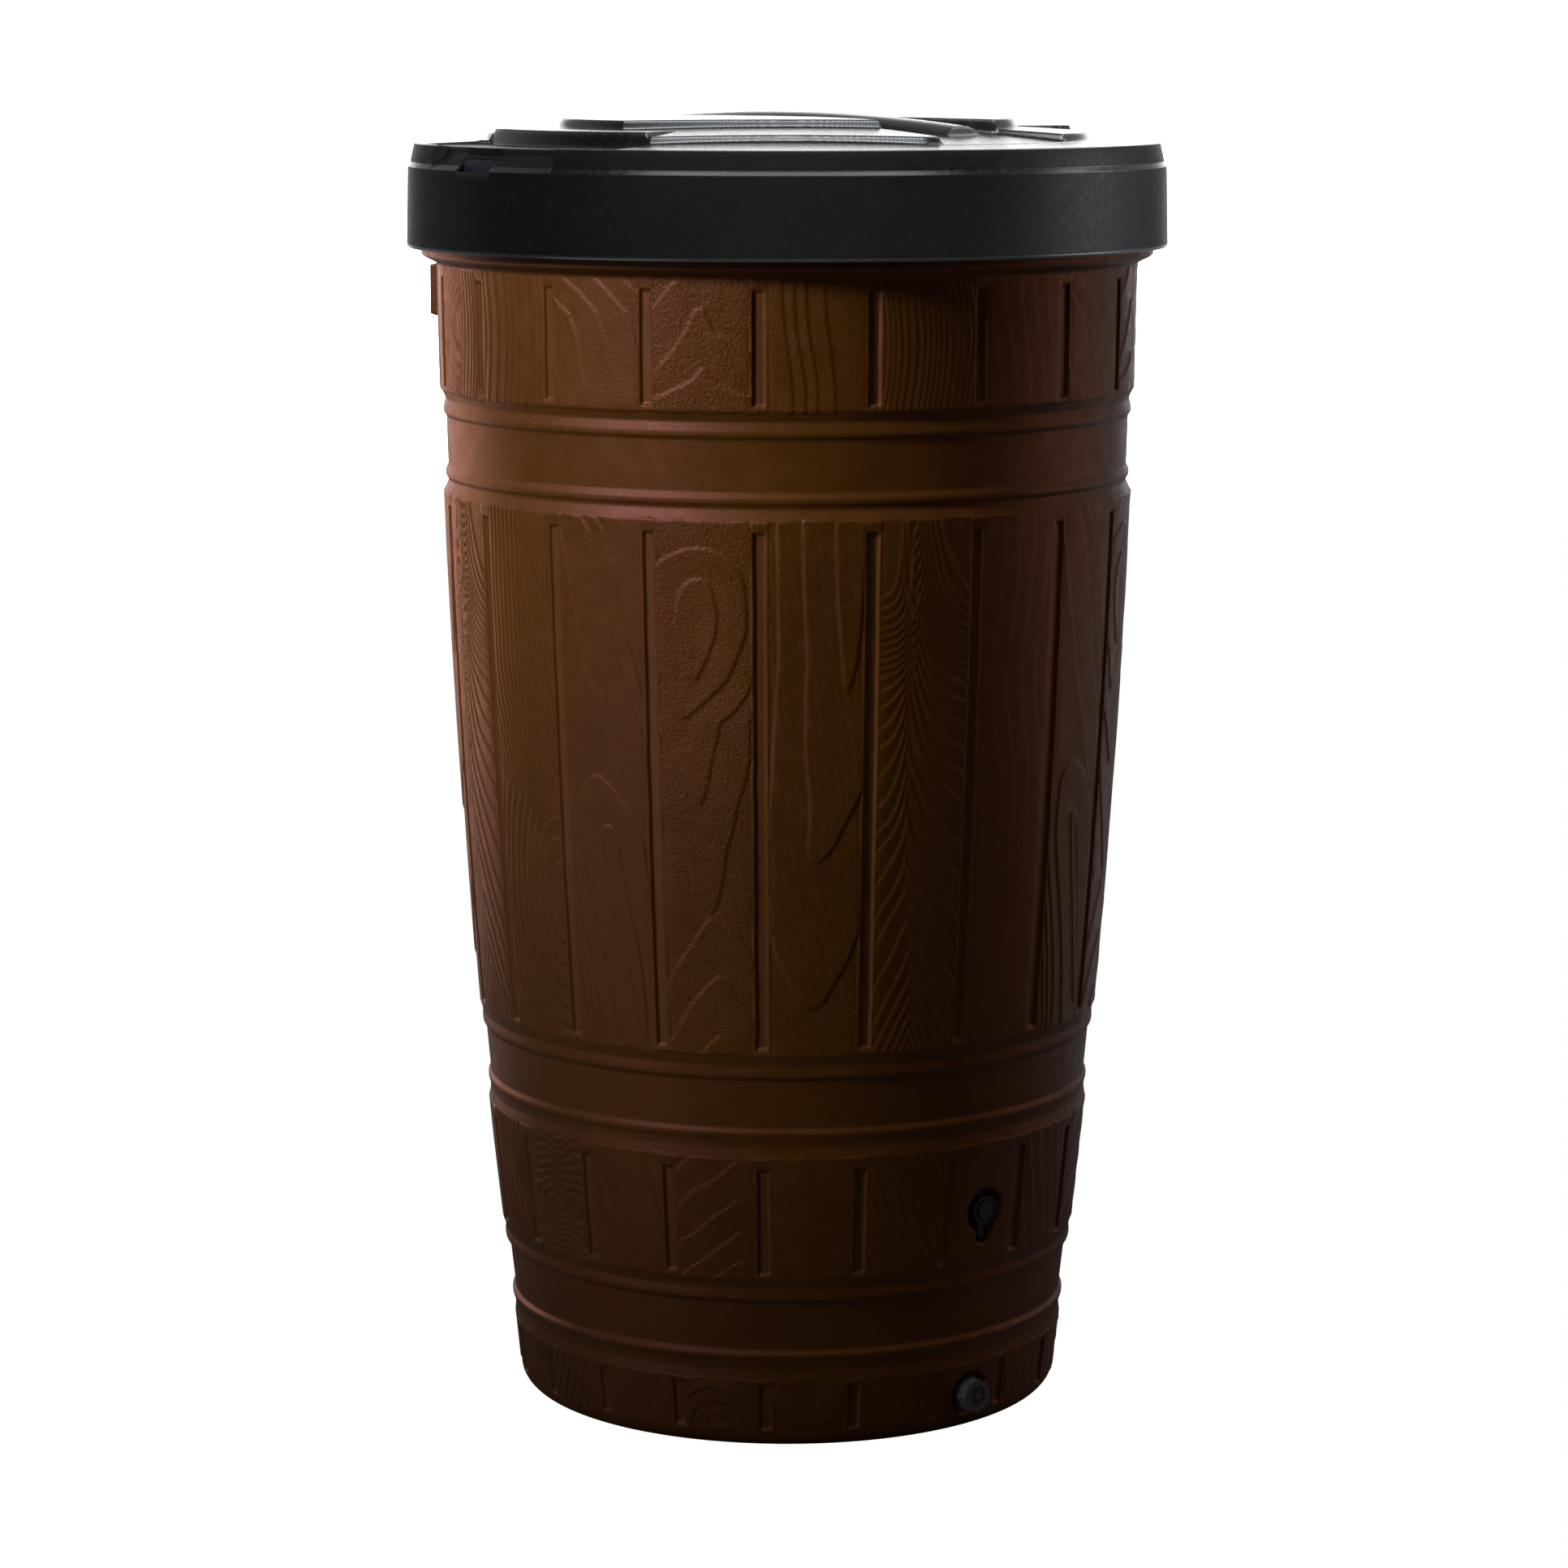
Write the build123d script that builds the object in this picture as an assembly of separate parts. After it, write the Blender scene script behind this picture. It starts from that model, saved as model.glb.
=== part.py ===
from build123d import *
import math
import os

# Rain barrel of about 265 litres: a blow-moulded plank-look barrel, a lift-off lid
# with a moulded grip, a turn tap and a screwed drain cap.
# Millimetres, +Z up.  The origin is the centre of the underside, on the ground.
# The front is -Y.  An azimuth is measured at the axis from -Y, positive towards +X.

# ---- barrel wall -----------------------------------------------------------------
wall = 4.5
belly_radius = 322.0         # outer radius where the belly arc stands upright
belly_level = 1142.0         # height of that point
belly_arc = 9190.0           # radius of the arc that the outer wall follows
corner_radius = 21.0         # rounding between the wall and the underside
foot_inner_radius = 190.0    # inside of the ring that the barrel stands on
base_push_up = 6.0           # the middle of the base is raised by this much

# ---- collar under the lid --------------------------------------------------------
flare_low = 1056.0
flare_high = 1064.0
collar_radius = 336.0
rim_top = 1160.4

# ---- hoops: groove, bead, flat band, bead, groove --------------------------------
# heights, bottom to top, and how far groove, bead and band lie inside the belly arc
hoops = [
    {"heights": (75, 88, 94, 128, 144, 153), "drops": (2.0, 0.6, 4.1)},
    {"heights": (285, 297, 303, 337, 352, 361), "drops": (2.3, 1.4, 4.1)},
    {"heights": (857, 864.6, 872, 911, 922.5, 933), "drops": (4.4, 2.0, 4.7)},
]
hoop_edge = 10.0             # from a groove's bottom to full wood radius

# ---- planks ----------------------------------------------------------------------
plank_count = 20
plank_groove_azimuth = -4.4
plank_groove_angle = 2.0
plank_groove_depth = 2.3
plank_groove_spans = [(18, 61), (166, 265), (376, 837), (946, 1046)]

# ---- flat pad for a downpipe connector -------------------------------------------
pad_azimuth = -102.0
pad_width = 100.0
pad_low = 1004.0
pad_high = 1054.0
pad_distance = 327.5
pad_depth = 40.0             # the block reaches this far in, where the wall is cut hollow

# ---- lid -------------------------------------------------------------------------
lid_wall = 3.5
skirt_low = 1071.0
skirt_low_radius = 349.1
skirt_high = 1143.7
skirt_high_radius = 347.4
riser_low = 1148.0
riser_low_radius = 345.0
riser_high = 1165.0
riser_high_radius = 341.2
brim_inner_radius = 285.0
brim_inner_level = 1167.3
crown_level = 1181.5
lower_disc_radius = 276.0
lower_disc_edge = 1174.5
lower_disc_middle = 1183.5
lower_disc_chord = 250.0     # the disc is cut straight this far in front of the axis
upper_disc_radius = 209.0
upper_disc_edge = 1186.8
upper_disc_middle = 1188.8
upper_disc_chord = 150.0
grip_azimuth = 46.0
grip_channel_angle = 17.0    # the channel's sides lie this far to either side of the grip
grip_half_length = 217.0
grip_half_width = 24.5
grip_half_height = 12.0
grip_end_level = 1170.0
grip_middle_level = 1181.0
pocket_azimuths = (-75.0, -26.0)
pocket_floor = 1164.0
pocket_back_level = 1178.5
gap_azimuths = (-66.0, -36.3)
ledge_inner_radius = 332.0
ledge_inner_level = 1158.7
ledge_riser = 1.5            # run of the short rise from the ledge to the pocket
slot_azimuths = (-57.4, -48.3)
slot_low = 1142.0
slot_high = 1156.0
locating_ring = (326.0, 329.5)
locating_ring_low = 1140.0

# ---- rim lugs that stand in the lid's slots --------------------------------------
rim_notch_azimuths = (-68.0, -34.3)
rim_notch_level = 1144.0
lug_azimuths = (-56.9, -48.8)
lug_low = 1128.0
lug_top = 1154.4
lug_radius = 340.0
lug_foot_height = 6.0        # height of the slope under the lug
lug_top_slope = 0.9          # fall of the lug's top for each mm outwards
lug_root = 4.0               # the lug's back reaches this far below the notch

# ---- fittings: both on one azimuth, with level axes ------------------------------
fitting_azimuth = 40.6
tap_level = 211.0
tap_seat = 257.5             # floor of the recess that the tap sits in, from the barrel axis
tap_inner_face = 252.0
tap_recess_radius = 20.0
run_off_length = 22.0        # the recess goes on below the spout, as a round-ended channel
run_off_half_width = 8.5
tap_shank_radius = 13.2
drain_level = 35.5
drain_seat = 250.5
drain_inner_face = 245.5
drain_recess_radius = 20.0
drain_shank_radius = 10.48
bore_clearance = 0.3
inner_boss_radius = 26.0
running_clearance = 0.05

# ---- reach of cutting blocks -------------------------------------------------------
beyond = 400.0               # a radius outside every part
above = 1250.0               # a height over every part
cut_past = 30.0              # bores are cut this far past the faces of the wall


def belly(z):
    """Outer radius of the plain wall at height z."""
    return belly_radius - belly_arc + math.sqrt(belly_arc**2 - (belly_level - z) ** 2)


def wall_arc(low, high, offset):
    """The belly arc between two heights, moved inwards by offset."""
    middle = (low + high) / 2
    return ThreePointArc(
        (belly(low) - offset, low),
        (belly(middle) - offset, middle),
        (belly(high) - offset, high),
    )


def hoop_points(hoop, offset):
    """Corners of one hoop's outline, from the wood below to the wood above."""
    groove_low, bead_low, band_low, band_high, bead_high, groove_high = hoop["heights"]
    groove_drop, bead_drop, band_drop = hoop["drops"]
    band_radius = belly((band_low + band_high) / 2) - band_drop - offset
    return [
        (belly(groove_low - hoop_edge) - offset, groove_low - hoop_edge),
        (belly(groove_low) - groove_drop - offset, groove_low),
        (belly(bead_low) - bead_drop - offset, bead_low),
        (band_radius, band_low),
        (band_radius, band_high),
        (belly(bead_high) - bead_drop - offset, bead_high),
        (belly(groove_high) - groove_drop - offset, groove_high),
        (belly(groove_high + hoop_edge) - offset, groove_high + hoop_edge),
    ]


def revolved(edges, angle=360.0):
    """A solid of revolution from edges drawn as (radius, height)."""
    outline = Plane.XZ * make_face(Curve() + edges)
    return revolve(outline, Axis.Z, revolution_arc=angle)


def sector(points, azimuths):
    """A closed (radius, height) polygon turned about the axis between two azimuths."""
    start, end = azimuths
    outline = Plane.XZ * make_face(Polyline(*points, close=True))
    return Rot(0, 0, start - 90) * revolve(outline, Axis.Z, revolution_arc=end - start)


def twice(make, azimuths, *arguments):
    """A feature and its copy on the opposite side of the axis."""
    solid = make(*arguments, azimuths)
    return [solid, Rot(0, 0, 180) * solid]


def at_azimuth(azimuth, distance, level):
    """Frame on the wall: local Z points outwards, local Y points up."""
    turn = math.radians(azimuth)
    outwards = Vector(math.sin(turn), -math.cos(turn), 0)
    sideways = Vector(math.cos(turn), math.sin(turn), 0)
    return Plane(origin=outwards * distance + Vector(0, 0, level), x_dir=sideways, z_dir=outwards)


def disc(place, near, far, radius, hole=0.0):
    """A round piece on a fitting's axis, between two distances from the barrel axis."""
    solid = place * Pos(0, 0, near) * Cylinder(
        radius, far - near, align=(Align.CENTER, Align.CENTER, Align.MIN)
    )
    if hole > 0:
        solid -= place * Pos(0, 0, near - 1) * Cylinder(
            hole, far - near + 2, align=(Align.CENTER, Align.CENTER, Align.MIN)
        )
    return solid


def prism(place, near, far, across_flats, sides, hole=0.0):
    """A nut or cap blank with flat sides, on a fitting's axis."""
    outline = RegularPolygon(across_flats / 2, sides, major_radius=False)
    solid = place * Pos(0, 0, near) * extrude(outline, far - near)
    if hole > 0:
        solid -= disc(place, near - 1, far + 1, hole)
    return solid


tap_axis = at_azimuth(fitting_azimuth, 0, tap_level)
drain_axis = at_azimuth(fitting_azimuth, 0, drain_level)


# ---- barrel ----------------------------------------------------------------------
def shell_outline(offset, underside, top):
    """Edges of the barrel's outline, moved inwards by offset."""
    radius = corner_radius - offset
    centre = belly(corner_radius) - corner_radius
    diagonal = radius * math.sqrt(0.5)
    ring_inside = foot_inner_radius + offset * math.tan(math.radians(22.5))
    edges = [
        Line((0, base_push_up + underside), (ring_inside - base_push_up, base_push_up + underside)),
        Line((ring_inside - base_push_up, base_push_up + underside), (ring_inside, underside)),
        Line((ring_inside, underside), (centre, underside)),
        ThreePointArc(
            (centre, underside),
            (centre + diagonal, corner_radius - diagonal),
            (centre + radius, corner_radius),
        ),
    ]
    level = corner_radius
    for hoop in hoops:
        points = hoop_points(hoop, offset)
        edges.append(wall_arc(level, points[0][1], offset))
        edges.append(Polyline(*points))
        level = points[-1][1]
    edges.append(wall_arc(level, flare_low, offset))
    flare_start = (belly(flare_low) - offset, flare_low)
    collar = collar_radius - offset
    edges.append(
        Polyline(flare_start, (collar, flare_high), (collar, top), (0, top), (0, base_push_up + underside))
    )
    return edges


def plank_grooves():
    """Every groove between two planks, one span at a time around the barrel."""
    cutters = []
    for low, high in plank_groove_spans:
        edges = [
            wall_arc(low, high, plank_groove_depth),
            Line((belly(high) - plank_groove_depth, high), (belly(high) + 10, high)),
            Line((belly(high) + 10, high), (belly(low) + 10, low)),
            Line((belly(low) + 10, low), (belly(low) - plank_groove_depth, low)),
        ]
        first = Rot(0, 0, plank_groove_azimuth - 90 - plank_groove_angle / 2) * revolved(
            edges, plank_groove_angle
        )
        for number in range(plank_count):
            cutters.append(Rot(0, 0, number * 360 / plank_count) * first)
    return cutters


def keyhole(near, far, wider):
    """The form of the tap's recess: round, with a channel running down from it."""
    half_width = run_off_half_width + wider
    length = run_off_length
    solid = disc(tap_axis, near, far, tap_recess_radius + wider)
    solid += tap_axis * Pos(0, -length / 2, near) * Box(
        2 * half_width, length, far - near, align=(Align.CENTER, Align.CENTER, Align.MIN)
    )
    return solid + tap_axis * Pos(0, -length, near) * Cylinder(
        half_width, far - near, align=(Align.CENTER, Align.CENTER, Align.MIN)
    )


def rim_lug(azimuths):
    """A lug on the rim, with a sloping outer face that lies under the lid's ledge."""
    slope_foot = lug_top - (lug_radius - collar_radius) * lug_top_slope
    return sector(
        [
            (collar_radius - wall / 2, lug_low),
            (collar_radius, lug_low),
            (lug_radius, lug_low + lug_foot_height),
            (lug_radius, slope_foot),
            (collar_radius, lug_top),
            (collar_radius - wall, lug_top),
            (collar_radius - wall, rim_notch_level - lug_root),
            (collar_radius - wall / 2, rim_notch_level - lug_root),
        ],
        azimuths,
    )


def rim_notch(azimuths):
    """Where the rim is lower, to pass under the ledge in the lid's edge."""
    return sector(
        [
            (collar_radius - cut_past, rim_notch_level),
            (collar_radius + cut_past, rim_notch_level),
            (collar_radius + cut_past, above),
            (collar_radius - cut_past, above),
        ],
        azimuths,
    )


def make_barrel_body():
    """The blow-moulded barrel: hoops, planks, collar, rim lugs, pad and two ports."""
    outer = revolved(shell_outline(0, 0, rim_top))
    pad_middle = (pad_low + pad_high) / 2
    pad = at_azimuth(pad_azimuth, pad_distance, pad_middle) * Box(
        pad_width, pad_high - pad_low, pad_depth, align=(Align.CENTER, Align.CENTER, Align.MAX)
    )
    outer += pad
    outer -= plank_grooves()
    body = outer - revolved(shell_outline(wall, wall, rim_top + 5))
    body += outer & keyhole(tap_inner_face, tap_seat + cut_past, wall)
    body += disc(drain_axis, drain_inner_face, drain_seat, inner_boss_radius)
    body -= keyhole(tap_seat, tap_seat + cut_past, 0)
    body -= disc(drain_axis, drain_seat, drain_seat + cut_past, drain_recess_radius)
    body -= disc(tap_axis, tap_inner_face - cut_past, tap_seat + cut_past, tap_shank_radius + bore_clearance)
    drain_bore = drain_shank_radius + bore_clearance
    body -= disc(drain_axis, drain_inner_face - cut_past, drain_seat + cut_past, drain_bore)
    body -= twice(rim_notch, rim_notch_azimuths)
    body += twice(rim_lug, lug_azimuths)
    return body


# ---- lid -------------------------------------------------------------------------
def dome(radius, edge, middle):
    """A round block with a slightly domed top."""
    halfway = middle - (middle - edge) / 4
    return revolved(
        [
            Polyline((0, middle), (0, skirt_high), (radius, skirt_high), (radius, edge)),
            ThreePointArc((radius, edge), (radius / 2, halfway), (0, middle)),
        ]
    )


def stepped_disc(radius, edge, middle, chord):
    """One raised disc of the lid: cut straight at front and back, parted by the channel."""
    solid = dome(radius, edge, middle)
    block = Box(2 * radius, 2 * chord, beyond)
    return solid & Pos(0, 0, edge) * block


def grip_channel(inset):
    """The channel round the grip, which widens from the axis towards both ends."""
    half_angle = math.radians(grip_channel_angle)
    apex = inset / math.sin(half_angle)
    half_width = (beyond + apex) * math.tan(half_angle)
    outline = Polyline((0, -apex), (half_width, beyond), (-half_width, beyond), close=True)
    wedge = Pos(0, 0, skirt_high) * extrude(make_face(outline), above - skirt_high)
    return Rot(0, 0, grip_azimuth) * (wedge + Rot(0, 0, 180) * wedge)


def grip_bar(inset):
    """The grip: a half-round bar, arched along its length."""
    path = ThreePointArc(
        (0, -grip_half_length + inset, grip_end_level),
        (0, 0, grip_middle_level),
        (0, grip_half_length - inset, grip_end_level),
    )
    section = Plane(origin=path @ 0, x_dir=(1, 0, 0), z_dir=path % 0) * Ellipse(
        grip_half_width - inset, grip_half_height - inset
    )
    return Rot(0, 0, grip_azimuth) * sweep(section, path)


def pocket(inset, azimuths):
    """The sunk floor in front of the lower disc, behind the ledge."""
    return sector(
        [
            (lower_disc_radius - inset, pocket_floor - inset),
            (beyond, pocket_floor - inset),
            (beyond, above),
            (lower_disc_radius - inset, above),
        ],
        azimuths,
    )


def pocket_back(inset, azimuths):
    """The part of the lower disc behind the pocket, which stands a little higher."""
    return sector(
        [
            (upper_disc_radius - 40, skirt_high),
            (lower_disc_radius - inset, skirt_high),
            (lower_disc_radius - inset, pocket_back_level - inset),
            (upper_disc_radius - 40, pocket_back_level - inset),
        ],
        azimuths,
    )


def rim_gap(inset, azimuths):
    """The gap in the raised edge, with its sloping ledge."""
    return sector(
        [
            (beyond, skirt_high - inset),
            (skirt_high_radius - inset, skirt_high - inset),
            (ledge_inner_radius - inset, ledge_inner_level - inset),
            (ledge_inner_radius - ledge_riser - inset, pocket_floor - inset),
            (ledge_inner_radius - ledge_riser - inset, above),
            (beyond, above),
        ],
        azimuths,
    )


def slot(azimuths):
    """The slot that a rim lug stands in."""
    return sector(
        [
            (ledge_inner_radius - 3, slot_low),
            (skirt_low_radius + 5, slot_low),
            (skirt_low_radius + 5, slot_high),
            (ledge_inner_radius - 3, slot_high),
        ],
        azimuths,
    )


def widened(azimuths, inset):
    """An azimuth range opened by a wall thickness at each end."""
    step = math.degrees(inset / riser_high_radius)
    return (azimuths[0] - step, azimuths[1] + step)


def lid_form(inset, low):
    """The lid as a full block, with every outer face moved inwards by inset."""
    halfway_radius = brim_inner_radius / 2
    halfway = crown_level - (crown_level - brim_inner_level) / 4
    block = revolved(
        [
            Polyline(
                (0, crown_level - inset),
                (0, low),
                (skirt_low_radius - inset, low),
                (skirt_high_radius - inset, skirt_high - inset),
                (riser_low_radius - inset, riser_low - inset),
                (riser_high_radius - inset, riser_high - inset),
                (brim_inner_radius - inset, brim_inner_level - inset),
            ),
            ThreePointArc(
                (brim_inner_radius - inset, brim_inner_level - inset),
                (halfway_radius, halfway - inset),
                (0, crown_level - inset),
            ),
        ]
    )
    discs = stepped_disc(
        lower_disc_radius - inset,
        lower_disc_edge - inset,
        lower_disc_middle - inset,
        lower_disc_chord - inset,
    )
    discs += twice(pocket_back, pocket_azimuths, inset)
    discs += stepped_disc(
        upper_disc_radius - inset,
        upper_disc_edge - inset,
        upper_disc_middle - inset,
        upper_disc_chord - inset,
    )
    discs -= grip_channel(inset)
    block -= twice(pocket, widened(pocket_azimuths, inset), inset)
    block += discs
    block += grip_bar(inset)
    block -= twice(rim_gap, widened(gap_azimuths, inset), inset)
    return block


def make_lid():
    """The lid: one moulded skin, with slots for the rim lugs and a locating ring."""
    skin = lid_form(0, skirt_low) - lid_form(lid_wall, skirt_low - 10)
    inner, outer = locating_ring
    ring_top = pocket_floor - lid_wall / 2
    ring = sector(
        [
            (inner, locating_ring_low),
            (outer, locating_ring_low),
            (outer, ring_top),
            (inner, ring_top),
        ],
        (0, 360),
    )
    skin += ring
    skin -= twice(slot, slot_azimuths)
    return skin


# ---- tap, from the water side outwards -------------------------------------------
tap_washer_thickness = 2.0
tap_inner_washer_thickness = 1.5
tap_inner_washer_radius = 18.0
tap_nut_thickness = 8.0
tap_nut_across_flats = 36.0
tap_flange_radius = 15.5
tap_flange_thickness = 2.5
tap_shank_end = 240.0
tap_front = 272.0
tap_bore_radius = 8.0
spout_distance = 266.0
spout_radius = 5.0
spout_bore_radius = 3.2
spout_length = 25.0          # from the tap's axis down to the spout's mouth
plug_end = 237.0
plug_inner_radius = 5.2
plug_seal_radius = 6.8
plug_seal_width = 1.8
plug_seal_places = (248.0, 260.0)
clip_place = 238.4
clip_thickness = 1.2
clip_groove_radius = 7.0
clip_radius = 9.6
clip_mouth = 6.0             # width of the clip's opening
knob_near = 272.3
knob_far = 276.6
knob_radius = 13.6
knob_hub_radius = 8.75
knob_recess_radius = 6.25
knob_square = 7.0            # across flats of the square that drives the knob
knob_square_length = 2.2
knob_rim = 1.6               # width of the raised edge
knob_rim_drop = 0.8          # the edge lies this far behind the hub
knob_face_thickness = 2.6
knob_flutes = 12
knob_flute_radius = 1.1
plug_end_wall = 2.4
screw_radius = 1.5
screw_length = 3.6
screw_head_radius = 3.2
screw_head_height = 1.2
screw_cross = (3.6, 0.7)     # length and width of each arm of the cross
cover_thickness = 0.6
cover_skirt = 0.8
cover_drop = 0.2


def make_tap_body():
    """Flange, shank and short spout in one moulding, bored for the valve plug."""
    flange_near = tap_seat + tap_washer_thickness
    solid = disc(tap_axis, tap_shank_end, tap_front, tap_shank_radius)
    solid += disc(tap_axis, flange_near, flange_near + tap_flange_thickness, tap_flange_radius)
    spout = tap_axis * Pos(0, 0, spout_distance) * Rot(90, 0, 0) * Cylinder(
        spout_radius, spout_length, align=(Align.CENTER, Align.CENTER, Align.MIN)
    )
    solid += spout
    solid -= disc(tap_axis, tap_shank_end - 1, tap_front + 1, tap_bore_radius)
    solid -= tap_axis * Pos(0, 0, spout_distance) * Rot(90, 0, 0) * Cylinder(
        spout_bore_radius, spout_length + 1, align=(Align.CENTER, Align.CENTER, Align.MIN)
    )
    return solid


def make_valve_plug():
    """Hollow plug; its side port faces sideways when shut and down when open."""
    outer = tap_bore_radius - running_clearance
    solid = disc(tap_axis, plug_end, knob_near, outer)
    solid += tap_axis * Pos(0, 0, knob_near) * Box(
        knob_square, knob_square, knob_square_length, align=(Align.CENTER, Align.CENTER, Align.MIN)
    )
    solid -= disc(tap_axis, plug_end - 1, knob_near - plug_end_wall, plug_inner_radius)
    solid -= tap_axis * Pos(0, 0, spout_distance) * Rot(0, -90, 0) * Cylinder(
        spout_bore_radius, 2 * tap_bore_radius, align=(Align.CENTER, Align.CENTER, Align.MIN)
    )
    for place in plug_seal_places:
        solid -= disc(tap_axis, place, place + plug_seal_width, outer + 1, plug_seal_radius)
    solid -= disc(tap_axis, clip_place, clip_place + clip_thickness, outer + 1, clip_groove_radius)
    solid -= disc(tap_axis, knob_near - plug_end_wall, knob_near + 2 * knob_square_length, screw_radius)
    return solid


def make_plug_seals():
    """Two O-rings in the plug's grooves, one on each side of the port."""
    middle = (plug_seal_radius + tap_bore_radius - running_clearance) / 2
    thick = (tap_bore_radius - running_clearance - plug_seal_radius) / 2
    return [
        tap_axis * Pos(0, 0, place + plug_seal_width / 2) * Torus(middle, thick)
        for place in plug_seal_places
    ]


def make_retaining_clip():
    """Open ring on the plug's inner end, which keeps the plug in the tap body."""
    ring = disc(tap_axis, clip_place, clip_place + clip_thickness, clip_radius, clip_groove_radius)
    mouth = tap_axis * Pos(0, clip_radius, clip_place) * Box(clip_mouth, clip_radius, clip_mouth)
    return ring - mouth


def make_knob():
    """Round knob with a raised hub ring, a recess for the screw, and grip flutes."""
    screw_seat = knob_near + knob_square_length
    flute_level = (knob_near + knob_far) / 2
    solid = disc(tap_axis, knob_near, knob_far - knob_rim_drop, knob_radius)
    solid -= disc(tap_axis, knob_near + knob_face_thickness, knob_far + 1, knob_radius - knob_rim)
    solid += disc(tap_axis, knob_near, knob_far, knob_hub_radius)
    solid -= disc(tap_axis, screw_seat, knob_far + 1, knob_recess_radius)
    solid -= tap_axis * Pos(0, 0, knob_near) * Box(knob_square, knob_square, 2 * knob_square_length)
    for number in range(knob_flutes):
        turn = Rot(0, 0, number * 360 / knob_flutes)
        place = Pos(knob_radius + knob_flute_radius / 2, 0, flute_level)
        solid -= tap_axis * turn * place * Cylinder(knob_flute_radius, knob_far - knob_near + 1)
    return solid


def make_knob_screw():
    """Pan-head screw that holds the knob on the plug."""
    seat = knob_near + knob_square_length
    length, width = screw_cross
    solid = disc(tap_axis, seat - screw_length, seat, screw_radius)
    head = disc(tap_axis, seat, seat + screw_head_height, screw_head_radius)
    cross = Box(length, width, screw_head_height) + Box(width, length, screw_head_height)
    head -= tap_axis * Pos(0, 0, seat + screw_head_height) * cross
    return solid + head


def make_knob_cover():
    """Cap that snaps into the knob's recess over the screw."""
    far = knob_far - cover_drop
    near = far - cover_thickness
    top = disc(tap_axis, near, far, knob_recess_radius)
    seat = knob_near + knob_square_length
    return top + disc(tap_axis, seat, near, knob_recess_radius, knob_recess_radius - cover_skirt)


# ---- drain, from the water side outwards -----------------------------------------
drain_bore_radius = 6.5
drain_flange_thickness = 3.0
drain_flange_across_flats = 30.0
drain_washer_thickness = 1.5
drain_washer_radius = 15.0
drain_nut_thickness = 4.0
drain_nut_radius = 15.8
drain_end = 262.8
cap_near = 256.6
cap_far = 266.6
cap_across_flats = 29.5
cap_seal_thickness = 1.6
cap_face_radius = 9.3        # radius of the sunk part of the cap's face
cap_face_recess = 0.9
cap_spoke_width = 1.4
cap_hub_radius = 2.6


def make_drain_spigot():
    """Threaded outlet pushed through the wall from the water side."""
    flange_far = drain_inner_face - drain_washer_thickness
    flange_near = flange_far - drain_flange_thickness
    solid = prism(drain_axis, flange_near, flange_far, drain_flange_across_flats, 6)
    solid += disc(drain_axis, flange_near, drain_end, drain_shank_radius)
    return solid - disc(drain_axis, flange_near - 1, drain_end + 1, drain_bore_radius)


def make_drain_cap():
    """Eight-sided cap: a skirt over the thread, and a face with ring, hub and four spokes."""
    cavity_end = drain_end + cap_seal_thickness + running_clearance
    solid = prism(drain_axis, cap_near, cap_far, cap_across_flats, 8)
    solid -= disc(drain_axis, cap_near - 1, cavity_end, drain_shank_radius + running_clearance)
    face = cap_far - cap_face_recess
    recess = disc(drain_axis, face, cap_far + 1, cap_face_radius)
    spoke_length = 3 * cap_face_radius
    spokes = Box(spoke_length, cap_spoke_width, 2 * cap_face_recess)
    spokes += Box(cap_spoke_width, spoke_length, 2 * cap_face_recess)
    recess -= drain_axis * Pos(0, 0, face) * spokes
    recess -= disc(drain_axis, face - 1, cap_far, cap_hub_radius)
    return solid - recess


washer_hole = tap_shank_radius + 0.1
drain_hole = drain_shank_radius + 0.1
tap_nut_near = tap_inner_face - tap_inner_washer_thickness - tap_nut_thickness
drain_nut_near = drain_seat + drain_washer_thickness

nodes = {
    "barrel_body": make_barrel_body(),
    "lid": make_lid(),
    "tap_body": make_tap_body(),
    "tap_outer_washer": disc(
        tap_axis, tap_seat, tap_seat + tap_washer_thickness, tap_flange_radius, washer_hole
    ),
    "tap_inner_washer": disc(
        tap_axis,
        tap_inner_face - tap_inner_washer_thickness,
        tap_inner_face,
        tap_inner_washer_radius,
        washer_hole,
    ),
    "tap_lock_nut": prism(
        tap_axis, tap_nut_near, tap_nut_near + tap_nut_thickness, tap_nut_across_flats, 6, tap_shank_radius
    ),
    "tap_valve_plug": make_valve_plug(),
    "tap_plug_seals": make_plug_seals(),
    "tap_retaining_clip": make_retaining_clip(),
    "tap_knob": make_knob(),
    "tap_knob_screw": make_knob_screw(),
    "tap_knob_cover": make_knob_cover(),
    "drain_spigot": make_drain_spigot(),
    "drain_inner_washer": disc(
        drain_axis,
        drain_inner_face - drain_washer_thickness,
        drain_inner_face,
        drain_washer_radius,
        drain_hole,
    ),
    "drain_outer_washer": disc(drain_axis, drain_seat, drain_nut_near, drain_washer_radius, drain_hole),
    "drain_lock_nut": disc(
        drain_axis, drain_nut_near, drain_nut_near + drain_nut_thickness, drain_nut_radius, drain_shank_radius
    ),
    "drain_cap": make_drain_cap(),
    "drain_cap_seal": disc(
        drain_axis, drain_end, drain_end + cap_seal_thickness, drain_shank_radius - 0.1, drain_bore_radius
    ),
}

os.makedirs("parts", exist_ok=True)
for name, shape in nodes.items():
    solid = Compound(children=shape) if isinstance(shape, list) else shape
    export_step(solid, f"parts/{name}.step")
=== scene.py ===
import math

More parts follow.
